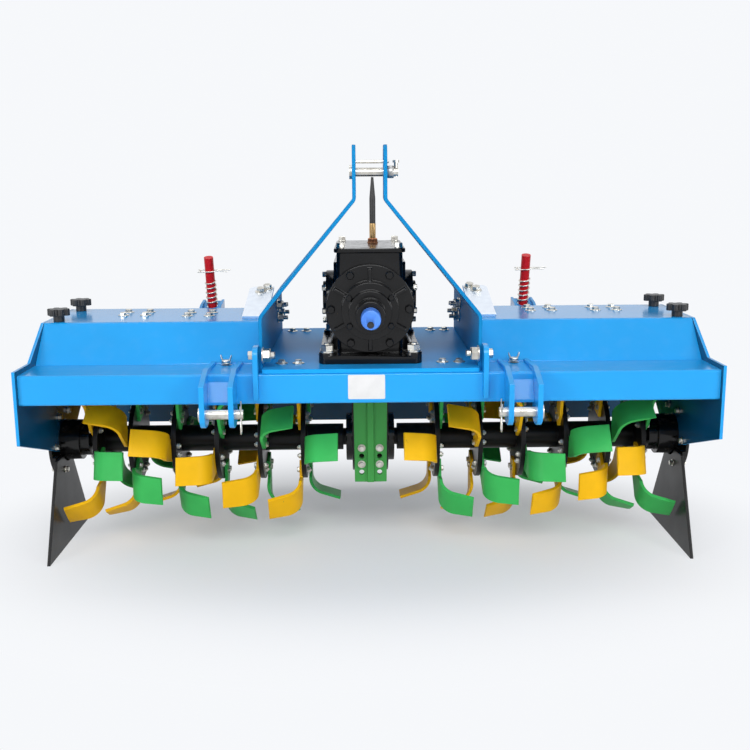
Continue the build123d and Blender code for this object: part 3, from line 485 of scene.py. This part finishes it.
def soften(node, material, body="frame", width=0.0012, sharp=32):
    """A CAD node's shape with its cut edges rounded, in place of the node."""
    piece = bpy.data.objects.new("soft_" + node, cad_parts[node].data.copy())
    bpy.context.collection.objects.link(piece)
    only(piece)
    bpy.ops.mesh.customdata_custom_splitnormals_clear()
    bpy.ops.object.mode_set(mode="EDIT")
    bpy.ops.mesh.select_mode(type="EDGE")
    bpy.ops.mesh.select_all(action="SELECT")
    bpy.ops.mesh.remove_doubles(threshold=1e-5)
    bpy.ops.mesh.dissolve_limited(angle_limit=math.radians(0.5))
    bpy.ops.mesh.select_all(action="DESELECT")
    bpy.ops.mesh.edges_select_sharp(sharpness=math.radians(sharp))
    bpy.ops.mesh.bevel(offset=width, segments=2, affect="EDGES", clamp_overlap=False)
    if body == "rotor":
        pick("EDGE", ground)
        bpy.ops.mesh.mark_sharp()
    only(piece)
    bpy.ops.object.shade_smooth_by_angle(angle=math.radians(40))
    modify(piece, "WEIGHTED_NORMAL", keep_sharp=True, weight=90)
    return dress(piece, material, body, [node])


def hex_pattern(name, across, head, washer, thick, stud=0.0, corners=18):
    """A hexagon with its corners turned off, on a flat washer; a nut also shows its stud."""
    piece = begin(
        name,
        bpy.ops.mesh.primitive_cylinder_add,
        vertices=6,
        radius=across / math.sqrt(3),
        depth=head,
        location=(0, 0, thick + head / 2),
    )
    top = thick + head
    pick("EDGE", lambda edge: level(edge, top))
    bpy.ops.mesh.bevel(offset=across * 0.08, segments=1, affect="EDGES")
    bpy.ops.mesh.primitive_cylinder_add(
        vertices=corners, radius=washer, depth=thick, location=(0, 0, thick / 2)
    )
    pick("EDGE", lambda edge: level(edge, thick) and edge.verts[0].co.xy.length > washer * 0.99)
    bpy.ops.mesh.bevel(offset=thick * 0.3, segments=1, affect="EDGES")
    if stud:
        bpy.ops.mesh.primitive_cylinder_add(
            vertices=10, radius=across * 0.3, depth=stud, location=(0, 0, top + stud / 2)
        )
        pick("EDGE", lambda edge: level(edge, top + stud))
        bpy.ops.mesh.bevel(offset=across * 0.06, segments=1, affect="EDGES")
    return finish_piece(piece, 30)


def wire_run(name, radius, start, axis, steps):
    """Round wire drawn from a start point by straight runs and turns."""
    move = place(start, axis)
    piece = begin(
        name,
        bpy.ops.mesh.primitive_circle_add,
        vertices=8,
        radius=radius,
        fill_type="NGON",
        location=move.to_translation(),
        rotation=move.to_euler(),
    )
    bpy.ops.mesh.select_mode(type="VERT")
    bpy.ops.mesh.select_all(action="SELECT")
    for step in steps:
        if len(step) == 1:
            bpy.ops.mesh.extrude_region_move(TRANSFORM_OT_translate={"value": step[0]})
        else:
            centre, spindle, angle, count = step
            bpy.ops.mesh.spin(
                steps=count, angle=math.radians(angle), center=centre, axis=spindle
            )
    return finish_piece(piece, 60, recalculate=True)


class TILLER_OT_finishes(bpy.types.Operator):
    """Mixes the paints and gives every CAD node its finish"""

    bl_idname = "tiller.finishes"
    bl_label = "Paints and plating"

    def execute(self, context):
        colours = context.scene.tiller_colours
        light_zinc, dark_zinc = (0.74, 0.72, 0.66), (0.52, 0.50, 0.45)
        light_plate, dark_plate = (0.80, 0.85, 0.91), (0.76, 0.81, 0.88)
        slots = {
            "blue_paint": paint("gloss_blue", colours.blue),
            "black_casting": casting("cast_black", 0.08, 0.00009, 0.32),
            "black_paint": casting("satin_black", 0.28, 0.00006, 0.2),
            "bright_steel": plated("bright_zinc", light_zinc, dark_zinc, 0.2, stain=0.12),
            "zinc_strap": plated("pale_plate", light_plate, dark_plate, 0.3, stain=0.03),
            "brass_fitting": plated("turned_brass", (0.62, 0.42, 0.20), (0.42, 0.26, 0.10), 0.24),
            "black_rubber": plastic("hose_rubber", (0.018, 0.018, 0.018), 0.45, 0.00003),
            "post_green": paint("post_green", colours.green, 0.32, 0.2),
            "tine_yellow": tine_paint("amber_tine", colours.yellow),
            "tine_green": tine_paint("leaf_tine", colours.leaf),
            "red_paint": paint("rod_red", colours.red, 0.3, 0.2),
            "black_plastic": plastic("knob_black", (0.014, 0.014, 0.015), 0.36, 0.00003),
            "blue_plastic": plastic("cap_blue", colours.cap, 0.34, 0.00003),
        }
        paint("satin_blue", colours.blue, 0.34, 0.06)
        # Painted shade: the masts take a copy of the frame blue darkened to two thirds.
        paint("mast_blue", tint(colours.blue, 0.66)[:3], 0.5, 0.04)
        # Painted shade: the hood's downward faces, the front faces of the board and rear beam, and the
        # end plates' inner faces are darkened.
        paint("hood_blue", colours.blue, shade_mask=below)
        paint("board_blue_shaded_front", colours.blue, shade_mask=ahead)
        paint("end_blue_shaded_inside", colours.blue, shade_mask=within)
        plate_white("blank_white")
        plated("copper_seat", (0.45, 0.20, 0.10), (0.26, 0.11, 0.06), 0.35)
        plated("dull_zinc", (0.46, 0.46, 0.45), (0.28, 0.28, 0.27), 0.32)
        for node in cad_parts.values():
            for part in node.material_slots:
                part.material = slots[part.material.name.split(".")[0]]
        return {"FINISHED"}


class TILLER_OT_blue_steel(bpy.types.Operator):
    """Rounds the cut edges of the blue plates and beams"""

    bl_idname = "tiller.blue_steel"
    bl_label = "Blue steel"

    def execute(self, context):
        edge = context.scene.tiller_sizes.soft_edge
        # The hood, rear beam, board and end plates take blues with painted shade on their under, front
        # or inner faces.
        finishes = {
            "front_beam": "gloss_blue",
            "rear_beam": "board_blue_shaded_front",
            "mast_lugs": "gloss_blue",
            "deck": "satin_blue",
        }
        for name in SIDES:
            finishes[f"hood_{name}"] = "hood_blue"
            finishes[f"end_plate_{name}"] = "end_blue_shaded_inside"
            finishes[f"mast_{name}"] = "mast_blue"
            finishes[f"hitch_bracket_{name}"] = "gloss_blue"
            finishes[f"rod_bracket_{name}"] = "gloss_blue"
        for node, finish in finishes.items():
            soften(node, finish, width=edge)
        soften("rear_board", "board_blue_shaded_front", "board", edge)
        return {"FINISHED"}


class TILLER_OT_castings(bpy.types.Operator):
    """Rounds the edges of the gearbox, bearings, stands, post, straps and knobs"""

    bl_idname = "tiller.castings"
    bl_label = "Castings"

    def execute(self, context):
        for node in ("gearbox_case", "gearbox_cover", "side_covers", "input_flange", "drive_case"):
            soften(node, "cast_black", width=0.0024)
        for name in SIDES:
            soften(f"bearing_{name}", "cast_black", width=0.0015)
            soften(f"stand_{name}", "satin_black", width=0.001)
        soften("centre_post", "post_green", width=0.001)
        soften("mast_straps", "pale_plate", width=0.001)
        soften("knobs", "knob_black", width=0.0015)
        return {"FINISHED"}


class TILLER_OT_shaft_cap(bpy.types.Operator):
    """Rounds the soft cap on the input shaft, opens the finger hole in its end and lines the hole's
    bottom with a black disc as painted shade
    """

    bl_idname = "tiller.shaft_cap"
    bl_label = "Shaft cap"

    def execute(self, context):
        cap = soften("pto_cap", "cap_blue", "input", 0.004)
        cutter = begin(
            "hole_cutter",
            bpy.ops.mesh.primitive_cylinder_add,
            vertices=20,
            radius=0.0078,
            depth=0.010,
            location=CAP_HOLE,
            rotation=(math.radians(90), 0, 0),
        )
        finish_piece(cutter)
        modify(cap, "BOOLEAN", operation="DIFFERENCE", object=cutter)
        bpy.data.objects.remove(cutter)
        # Painted shade: a black disc at the bottom of the hole stands for its dark depth.
        hole_shade = begin(
            "cap_hole_shade",
            bpy.ops.mesh.primitive_cylinder_add,
            vertices=20,
            radius=0.0074,
            depth=0.001,
            location=CAP_HOLE - FORWARD * 0.0045,
            rotation=(math.radians(90), 0, 0),
        )
        pick("FACE", lambda face: face.normal.y < -0.9)
        bpy.ops.mesh.inset(thickness=0.002, depth=-0.0003)
        finish_piece(hole_shade, 40)
        dress(hole_shade, "hose_rubber", "input")
        return {"FINISHED"}


class TILLER_OT_rotor(bpy.types.Operator):
    """Rounds the tines and bolts them to the rotor's flanges"""

    bl_idname = "tiller.rotor"
    bl_label = "Rotor and tines"

    def execute(self, context):
        size = context.scene.tiller_sizes.tine_bolt
        for name in SIDES:
            soften(f"tines_{name}_yellow", "amber_tine", "rotor", 0.0008)
            soften(f"tines_{name}_green", "leaf_tine", "rotor", 0.0008)
        soften("rotor_shaft", "satin_black", "rotor", 0.001)
        heads, nuts = [], []
        for side in SIDES.values():
            for number, across in enumerate(FLANGES):
                for way, lead in ((side, 0), (-side, 60)):
                    for turn in (0, 120, 240):
                        angle = FIRST_TINE_ANGLE - FLANGE_STEP_ANGLE * number + lead + turn
                        out = spoke(UP, FORWARD, angle)
                        along = spoke(-FORWARD, UP, angle)
                        for shift in (-TINE_BOLT_HALF_SPACE, TINE_BOLT_HALF_SPACE):
                            hole = out * TINE_BOLT_CIRCLE + along * shift + UP * ROTOR_HEIGHT
                            hole.x = side * across
                            heads.append(place(hole + ACROSS * way * TINE_FACE, ACROSS * way))
                            nuts.append(place(hole - ACROSS * way * FLANGE_FACE, ACROSS * -way))
        bolt = hex_pattern("tine_bolt", size, 0.005, size * 0.62, 0.0012, corners=10)
        galvanise(set_out(bolt, "tine_bolts", heads), "rotor")
        nut = hex_pattern("tine_nut", size, 0.006, size * 0.62, 0.0012, 0.003, corners=10)
        galvanise(set_out(nut, "tine_nuts", nuts), "rotor")
        return {"FINISHED"}


class TILLER_OT_case_bolts(bpy.types.Operator):
    """Bolts the input flange, cap, cover, side covers and base of the gearbox"""

    bl_idname = "tiller.case_bolts"
    bl_label = "Gearbox bolts"

    def execute(self, context):
        sizes = context.scene.tiller_sizes
        flange = []
        for angle in range(0, 360, 60):
            spot = INPUT_CENTRE + spoke(ACROSS, UP, angle) * INPUT_FLANGE_CIRCLE
            flange.append(place(spot + FORWARD * INPUT_FLANGE_FACE, FORWARD, angle))
        bolt = hex_pattern("flange_bolt", sizes.case_bolt, 0.011, sizes.case_bolt * 0.56, 0.002)
        dress(set_out(bolt, "flange_bolts", flange), "cast_black")
        small = []
        for angle in INPUT_CAP_ANGLES:
            spot = INPUT_CENTRE + spoke(ACROSS, UP, angle) * INPUT_CAP_CIRCLE
            small.append(place(spot + FORWARD * INPUT_CAP_FACE, FORWARD, angle))
        bolt = hex_pattern("cap_bolt", sizes.small_bolt, 0.008, sizes.small_bolt * 0.56, 0.0015)
        dress(set_out(bolt, "cap_bolts", small), "cast_black")
        cover = []
        for across in (-0.068, 0.068):
            for along in (-0.205, 0.070):
                cover.append(place((across, along, CASE_TOP), UP, across))
        bolt = hex_pattern("cover_bolt", sizes.case_bolt, 0.010, sizes.case_bolt * 0.62, 0.002)
        galvanise(set_out(bolt, "cover_bolts", cover))
        rim = []
        for side in SIDES.values():
            for angle in range(30, 390, 60):
                hub = Vector((side * SIDE_COVER.x, SIDE_COVER.y, SIDE_COVER.z))
                spot = hub + spoke(-FORWARD, UP, angle) * SIDE_COVER_CIRCLE
                rim.append(place(spot, ACROSS * side, angle))
        bolt = hex_pattern("side_bolt", sizes.small_bolt, 0.008, sizes.small_bolt * 0.56, 0.0015)
        galvanise(set_out(bolt, "side_bolts", rim))
        base = []
        for across in (-0.100, 0.100):
            for along in (-0.250, 0.100):
                base.append(place((across, along, CASE_BASE_TOP), UP, 0.3 * along + across))
        nut = hex_pattern("base_nut", sizes.base_nut, 0.014, sizes.base_nut * 0.64, 0.004, 0.004)
        galvanise(set_out(nut, "base_nuts", base))
        seat = hex_pattern("breather_seat", 0.024, 0.009, 0.014, 0.002)
        seats = set_out(seat, "breather_seats", [place((0.010, -0.015, CASE_TOP + 0.0005))])
        dress(seats, "copper_seat")
        return {"FINISHED"}


class TILLER_OT_frame_bolts(bpy.types.Operator):
    """Bolts hood, deck, mast, straps, bearings and centre post"""

    bl_idname = "tiller.frame_bolts"
    bl_label = "Frame bolts"

    def execute(self, context):
        sizes = context.scene.tiller_sizes
        hood = []
        half_across, half_along = HOOD_BOLT_HALF_SPACE
        for across, along in HOOD_BOLT_GROUPS:
            for right in (-half_across, half_across):
                for back in (-half_along, half_along):
                    hood.append(place((across + right, along + back, HOOD_TOP), UP, across + back * 40))
        deck = []
        for across in DECK_BOLTS_ACROSS:
            for along, shift in ((-DECK_BOLT_ROW, 0.0), (DECK_BOLT_ROW, DECK_REAR_SHIFT)):
                deck.append(place((across + shift, along, DECK_TOP), UP, along))
                deck.append(place((-across - shift, along, DECK_TOP), UP, across))
        size = sizes.small_bolt
        bolt = hex_pattern("hood_bolt", size * 1.2, 0.007, size * 1.1, 0.002)
        galvanise(set_out(bolt, "hood_bolts", hood + deck))
        strap_up = Vector((0, -math.sin(STRAP_RISE), math.cos(STRAP_RISE)))
        strap_back = Vector((0, math.cos(STRAP_RISE), math.sin(STRAP_RISE)))
        straps, inner, outer, heavy = [], [], [], []
        for side in SIDES.values():
            for across, run in STRAP_BOLTS:
                spot = STRAP_FOOT + ACROSS * side * across
                spot += strap_back * run + strap_up * STRAP_THICKNESS
                straps.append(place(spot, strap_up, run * 30))
            for along, height in MAST_NUTS:
                inner.append(place((side * MAST_INNER_FACE, along, height), ACROSS * -side, along * 30))
            heavy.append(place(LUG_BOLT + ACROSS * side * MAST_INNER_FACE, ACROSS * -side, 0.2))
            outer.append(place(LUG_BOLT + ACROSS * side * LUG_OUTER_FACE, ACROSS * side, 0.2))
        bolt = hex_pattern("strap_bolt", 0.019, 0.010, 0.015, 0.0025)
        galvanise(set_out(bolt, "strap_bolts", straps + outer))
        nut = hex_pattern("mast_nut", 0.019, 0.013, 0.015, 0.0025, 0.012)
        galvanise(set_out(nut, "mast_nuts", inner))
        nut = hex_pattern("lug_nut", 0.028, 0.016, 0.019, 0.003, 0.010)
        galvanise(set_out(nut, "lug_nuts", heavy))
        ends, nuts = [], []
        for side in SIDES.values():
            for angle in (0, 60, 120, 180, 240):
                spot = spoke(-FORWARD, UP, angle) * BEARING_BOLT_CIRCLE + UP * ROTOR_HEIGHT
                face = STAND_INNER_FACE if angle > 180 else BEARING_INNER_FACE
                ends.append(place(spot + ACROSS * side * face, ACROSS * -side, angle))
                nuts.append(place(spot + ACROSS * side * BEARING_OUTER_FACE, ACROSS * side, angle))
        bolt = hex_pattern("bearing_bolt", 0.012, 0.007, 0.009, 0.002)
        galvanise(set_out(bolt, "bearing_bolts", ends))
        nut = hex_pattern("bearing_nut", 0.012, 0.007, 0.009, 0.002, 0.002)
        galvanise(set_out(nut, "bearing_nuts", nuts))
        post = []
        for across in (-POST_BOLT_HALF_SPACE, POST_BOLT_HALF_SPACE):
            for height in POST_BOLT_HEIGHTS:
                post.append(place((across, POST_FACE, height), FORWARD, height))
        bolt = hex_pattern("post_bolt", 0.014, 0.006, 0.010, 0.0015)
        galvanise(set_out(bolt, "post_bolts", post))
        return {"FINISHED"}


class TILLER_OT_springs(bpy.types.Operator):
    """Winds the springs of the two rods"""

    bl_idname = "tiller.springs"
    bl_label = "Rod springs"

    def execute(self, context):
        wire = context.scene.tiller_sizes.spring_wire / 2
        for name, side in SIDES.items():
            piece = begin(
                f"wound_spring_{name}",
                bpy.ops.mesh.primitive_circle_add,
                vertices=8,
                radius=wire,
                location=(0.017 - wire, 0, wire),
                rotation=(math.radians(90), 0, 0),
            )
            modify(
                piece, "SCREW", axis="Z", screw_offset=0.0145, iterations=5, steps=24, render_steps=24
            )
            bpy.ops.object.mode_set(mode="EDIT")
            bpy.ops.mesh.select_mode(type="EDGE")
            bpy.ops.mesh.select_all(action="DESELECT")
            bpy.ops.mesh.select_non_manifold()
            bpy.ops.mesh.edge_face_add()
            finish_piece(piece, 60, recalculate=True)
            seat = Vector((side * ROD_SEAT.x, ROD_SEAT.y, ROD_SEAT.z)) + ROD_LINE * 0.0045
            piece.data.transform(place(seat, ROD_LINE))
            galvanise(piece, f"rod_{name}", [f"rod_spring_{name}"])
        return {"FINISHED"}


class TILLER_OT_clips(bpy.types.Operator):
    """Bends the spring clips of the rods and the hitch pins"""

    bl_idname = "tiller.clips"
    bl_label = "Clips"

    def execute(self, context):
        wire = context.scene.tiller_sizes.clip_wire / 2
        for name, side in SIDES.items():
            clip = wire_run(
                f"rod_clip_{name}",
                wire,
                (0.060, 0, 0),
                -ACROSS,
                [
                    [(-0.092, 0, 0)],
                    [(-0.032, -0.0085, 0), (0, 0, 1), 180, 12],
                    [(0.014, 0, 0)],
                    [(0.010, 0.001, 0)],
                    [(0.014, 0.0, 0)],
                    [(0.018, 0.008, 0)],
                    [(0.028, -0.006, 0)],
                ],
            )
            spot = Vector((side * ROD_SEAT.x, ROD_SEAT.y, ROD_SEAT.z)) + ROD_LINE * 0.112
            clip.data.transform(place(spot, ROD_LINE))
            galvanise(clip, f"rod_{name}")
            clip = wire_run(
                f"hitch_clip_{name}",
                wire,
                (0, 0, 0.030),
                -UP,
                [
                    [(0, 0, -0.066)],
                    [(0, -0.0075, -0.036), (1, 0, 0), 180, 10],
                    [(0, 0, 0.014)],
                    [(0, 0.006, 0.010)],
                    [(0, 0.001, 0.010)],
                    [(0, -0.007, 0.010)],
                    [(0, -0.004, 0.014)],
                ],
            )
            clip.data.transform(place((side * HITCH_CLIP.x, HITCH_CLIP.y, HITCH_CLIP.z)))
            galvanise(clip)
        return {"FINISHED"}


class TILLER_OT_top_pin(bpy.types.Operator):
    """Holds the top pin with a collar and a linch pin, and sets the thin spacer rod above it"""

    bl_idname = "tiller.top_pin"
    bl_label = "Top pin fittings"

    def execute(self, context):
        collar = begin(
            "top_collar",
            bpy.ops.mesh.primitive_cylinder_add,
            vertices=24,
            radius=0.0135,
            depth=0.015,
            location=TOP_PIN + ACROSS * 0.0455,
            rotation=(0, math.radians(90), 0),
        )
        pick("EDGE", lambda edge: abs(edge.verts[0].co.x - edge.verts[1].co.x) < 1e-6)
        bpy.ops.mesh.bevel(offset=0.002, segments=2, affect="EDGES")
        finish_piece(collar, 40)
        dress(collar, "dull_zinc")
        rod = begin(
            "spacer_rod",
            bpy.ops.mesh.primitive_cylinder_add,
            vertices=16,
            radius=0.0037,
            depth=0.078,
            location=TOP_PIN + ACROSS * 0.0025 + UP * SPACER_LIFT,
            rotation=(0, math.radians(90), 0),
        )
        pick("FACE", lambda face: abs(face.normal.x) > 0.9)
        bpy.ops.mesh.inset(thickness=0.001, depth=0.001)
        finish_piece(rod, 40)
        galvanise(rod)
        pin = begin(
            "linch_pin",
            bpy.ops.mesh.primitive_cylinder_add,
            vertices=12,
            radius=0.0042,
            depth=LINCH_PIN_LENGTH,
            location=LINCH_PIN,
        )
        pick("FACE", lambda face: face.normal.z > 0.9)
        bpy.ops.mesh.inset(thickness=0, depth=0)
        top = LINCH_PIN + UP * LINCH_PIN_LENGTH / 2
        bpy.ops.transform.resize(value=(1.7, 1.7, 1), center_override=top)
        bpy.ops.mesh.extrude_region_move(TRANSFORM_OT_translate={"value": (0, 0, 0.005)})
        finish_piece(pin, 40, recalculate=True)
        galvanise(pin)
        return {"FINISHED"}


class TILLER_OT_wing_nuts(bpy.types.Operator):
    """Sets a wing nut on the beam behind each hitch bracket"""

    bl_idname = "tiller.wing_nuts"
    bl_label = "Wing nuts"

    def execute(self, context):
        piece = begin(
            "wing_nut",
            bpy.ops.mesh.primitive_cylinder_add,
            vertices=12,
            radius=0.012,
            depth=0.011,
            location=(0, 0, 0.0075),
            rotation=(0, 0, math.radians(15)),
        )
        pick("EDGE", lambda edge: level(edge, 0.013))
        bpy.ops.mesh.bevel(offset=0.0025, segments=2, affect="EDGES")
        pick("FACE", lambda face: abs(face.normal.x) > 0.9)
        bpy.ops.mesh.extrude_region_shrink_fatten(TRANSFORM_OT_shrink_fatten={"value": -0.004})
        for lift, spread in ((0.005, 1.25), (0.006, 1.3), (0.004, 1.15)):
            bpy.ops.mesh.extrude_region_move(TRANSFORM_OT_translate={"value": (0, 0, lift)})
            bpy.ops.transform.resize(value=(spread, 1.0, 1), center_override=(0, 0, 0.01))
        bpy.ops.mesh.primitive_cylinder_add(
            vertices=20, radius=0.014, depth=0.002, location=(0, 0, 0.001)
        )
        finish_piece(piece, 60, recalculate=True)
        modify(piece, "SUBSURF", levels=1, render_levels=1)
        finish_piece(piece, 60)
        places = []
        for side in SIDES.values():
            places.append(place((side * WING_NUT.x, WING_NUT.y, WING_NUT.z), UP, side * 0.25))
        galvanise(set_out(piece, "wing_nuts", places))
        return {"FINISHED"}


class TILLER_OT_blank_plate(bpy.types.Operator):
    """Fixes a bare white plate to the front of the beam"""

    bl_idname = "tiller.blank_plate"
    bl_label = "Blank plate"

    def execute(self, context):
        piece = begin(
            "blank_plate",
            bpy.ops.mesh.primitive_cube_add,
            size=1,
            location=PLATE_CENTRE,
            scale=PLATE_SIZE,
        )
        pick("EDGE", lambda edge: abs((edge.verts[0].co - edge.verts[1].co).y) > 0.001)
        bpy.ops.mesh.bevel(offset=0.003, segments=4, affect="EDGES")
        pick("FACE", lambda face: face.normal.y < -0.9)
        bpy.ops.mesh.inset(thickness=0.0005, depth=0.0002)
        finish_piece(piece, 30)
        dress(piece, "blank_white")
        return {"FINISHED"}


class TILLER_OT_stage(bpy.types.Operator):
    """Lays the floor, hangs the lights and sets up the camera"""

    bl_idname = "tiller.stage"
    bl_label = "Studio"

    def execute(self, context):
        colours = context.scene.tiller_colours
        floor = begin("floor", bpy.ops.mesh.primitive_plane_add, size=60)
        bpy.ops.mesh.subdivide(number_cuts=4)
        finish_piece(floor)
        pale = Finish("studio_floor")
        pale.put(Base_Color=tint(colours.floor, 1), Roughness=0.9, Specular_IOR_Level=0.0)
        glow = pale.node("ShaderNodeEmission", inputs={"Color": tint(colours.backdrop, 1)})
        seen = pale.node("ShaderNodeLightPath", out="Is Camera Ray")
        seen = seen + pale.node("ShaderNodeLightPath", out="Is Glossy Ray")
        seen = seen + pale.node("ShaderNodeLightPath", out="Is Transmission Ray")
        spread = pale.spot((0.7, 1, 1))
        away = pale.node("ShaderNodeVectorMath", {"operation": "LENGTH"}, {0: spread}, out="Value")
        mixed = pale.node(
            "ShaderNodeMixShader",
            inputs={
                0: seen * (0.28 + 0.72 * away.rise(0.3, 0.85)),
                1: Wire(pale, pale.shader.outputs[0]),
                2: glow,
            },
        )
        pale.feed(pale.end.inputs[0], mixed)
        floor.data.materials.append(pale.material)
        self.sky(context, colours)
        self.lamp("key_light", (0, -3.0, 2.7), (2.2, 1.4), 66)
        self.lamp("left_light", (-2.6, -2.8, 1.3), (1.2, 1.2), 42)
        self.lamp("right_light", (2.6, -2.8, 1.3), (1.2, 1.2), 42)
        self.lamp("top_light", (0, 0.4, 3.0), (3.0, 0.9), 17)
        self.camera(context)
        context.scene.view_settings.view_transform = "Standard"
        return {"FINISHED"}

    def sky(self, context, colours):
        world = bpy.data.worlds.new("studio")
        world.use_nodes = True
        tree = world.node_tree
        tree.nodes.clear()
        end = tree.nodes.new("ShaderNodeOutputWorld")
        path = tree.nodes.new("ShaderNodeLightPath")
        shown = tree.nodes.new("ShaderNodeMath")
        shown.operation = "MAXIMUM"
        tree.links.new(path.outputs["Is Camera Ray"], shown.inputs[0])
        tree.links.new(path.outputs["Is Glossy Ray"], shown.inputs[1])
        either = tree.nodes.new("ShaderNodeMath")
        either.operation = "MAXIMUM"
        tree.links.new(shown.outputs[0], either.inputs[0])
        tree.links.new(path.outputs["Is Transmission Ray"], either.inputs[1])
        light = tree.nodes.new("ShaderNodeBackground")
        light.inputs[0].default_value = (0.95, 0.97, 1.0, 1)
        light.inputs[1].default_value = 0.18
        wall = tree.nodes.new("ShaderNodeBackground")
        wall.inputs[0].default_value = tint(colours.backdrop, 1)
        mixed = tree.nodes.new("ShaderNodeMixShader")
        tree.links.new(either.outputs[0], mixed.inputs[0])
        tree.links.new(light.outputs[0], mixed.inputs[1])
        tree.links.new(wall.outputs[0], mixed.inputs[2])
        tree.links.new(mixed.outputs[0], end.inputs[0])
        context.scene.world = world

    def lamp(self, name, spot, size, power):
        clear()
        aim = LAMP_TARGET - Vector(spot)
        turn = aim.to_track_quat("-Z", "Y").to_euler()
        bpy.ops.object.light_add(type="AREA", location=spot, rotation=turn)
        lamp = bpy.context.object
        lamp.name = name
        lamp.data.shape = "RECTANGLE"
        lamp.data.size, lamp.data.size_y = size
        lamp.data.energy = power

    def camera(self, context):
        clear()
        turn = Matrix.Rotation(CAMERA_SWING, 3, "Z")
        turn = turn @ Matrix.Rotation(math.pi / 2 - CAMERA_DIP, 3, "X")
        turn = turn @ Matrix.Rotation(CAMERA_ROLL, 3, "Z")
        bpy.ops.object.camera_add(location=CAMERA_SPOT, rotation=turn.to_euler())
        camera = bpy.context.object
        camera.data.lens = CAMERA_LENS
        camera.data.sensor_width = 36
        context.scene.camera = camera


class TILLER_PT_panel(bpy.types.Panel):
    """Lists the steps that dress the tiller"""

    bl_idname = "TILLER_PT_panel"
    bl_label = "Rotary tiller"
    bl_space_type = "VIEW_3D"
    bl_region_type = "UI"
    bl_category = "Tiller"

    def draw(self, context):
        for step in STEPS:
            self.layout.operator(step.bl_idname)
        for group in (context.scene.tiller_colours, context.scene.tiller_sizes):
            for name in group.__annotations__:
                self.layout.prop(group, name)


STEPS = (
    TILLER_OT_finishes,
    TILLER_OT_blue_steel,
    TILLER_OT_castings,
    TILLER_OT_shaft_cap,
    TILLER_OT_rotor,
    TILLER_OT_case_bolts,
    TILLER_OT_frame_bolts,
    TILLER_OT_springs,
    TILLER_OT_clips,
    TILLER_OT_top_pin,
    TILLER_OT_wing_nuts,
    TILLER_OT_blank_plate,
    TILLER_OT_stage,
)
CLASSES = (TillerColours, TillerSizes) + STEPS + (TILLER_PT_panel,)


def register():
    for kind in CLASSES:
        bpy.utils.register_class(kind)
    bpy.types.Scene.tiller_colours = PointerProperty(type=TillerColours)
    bpy.types.Scene.tiller_sizes = PointerProperty(type=TillerSizes)


def unregister():
    del bpy.types.Scene.tiller_sizes
    del bpy.types.Scene.tiller_colours
    for kind in reversed(CLASSES):
        bpy.utils.unregister_class(kind)


def main():
    register()
    for step in STEPS:
        getattr(bpy.ops.tiller, step.bl_idname.split(".")[1])()


if __name__ == "__main__":
    main()
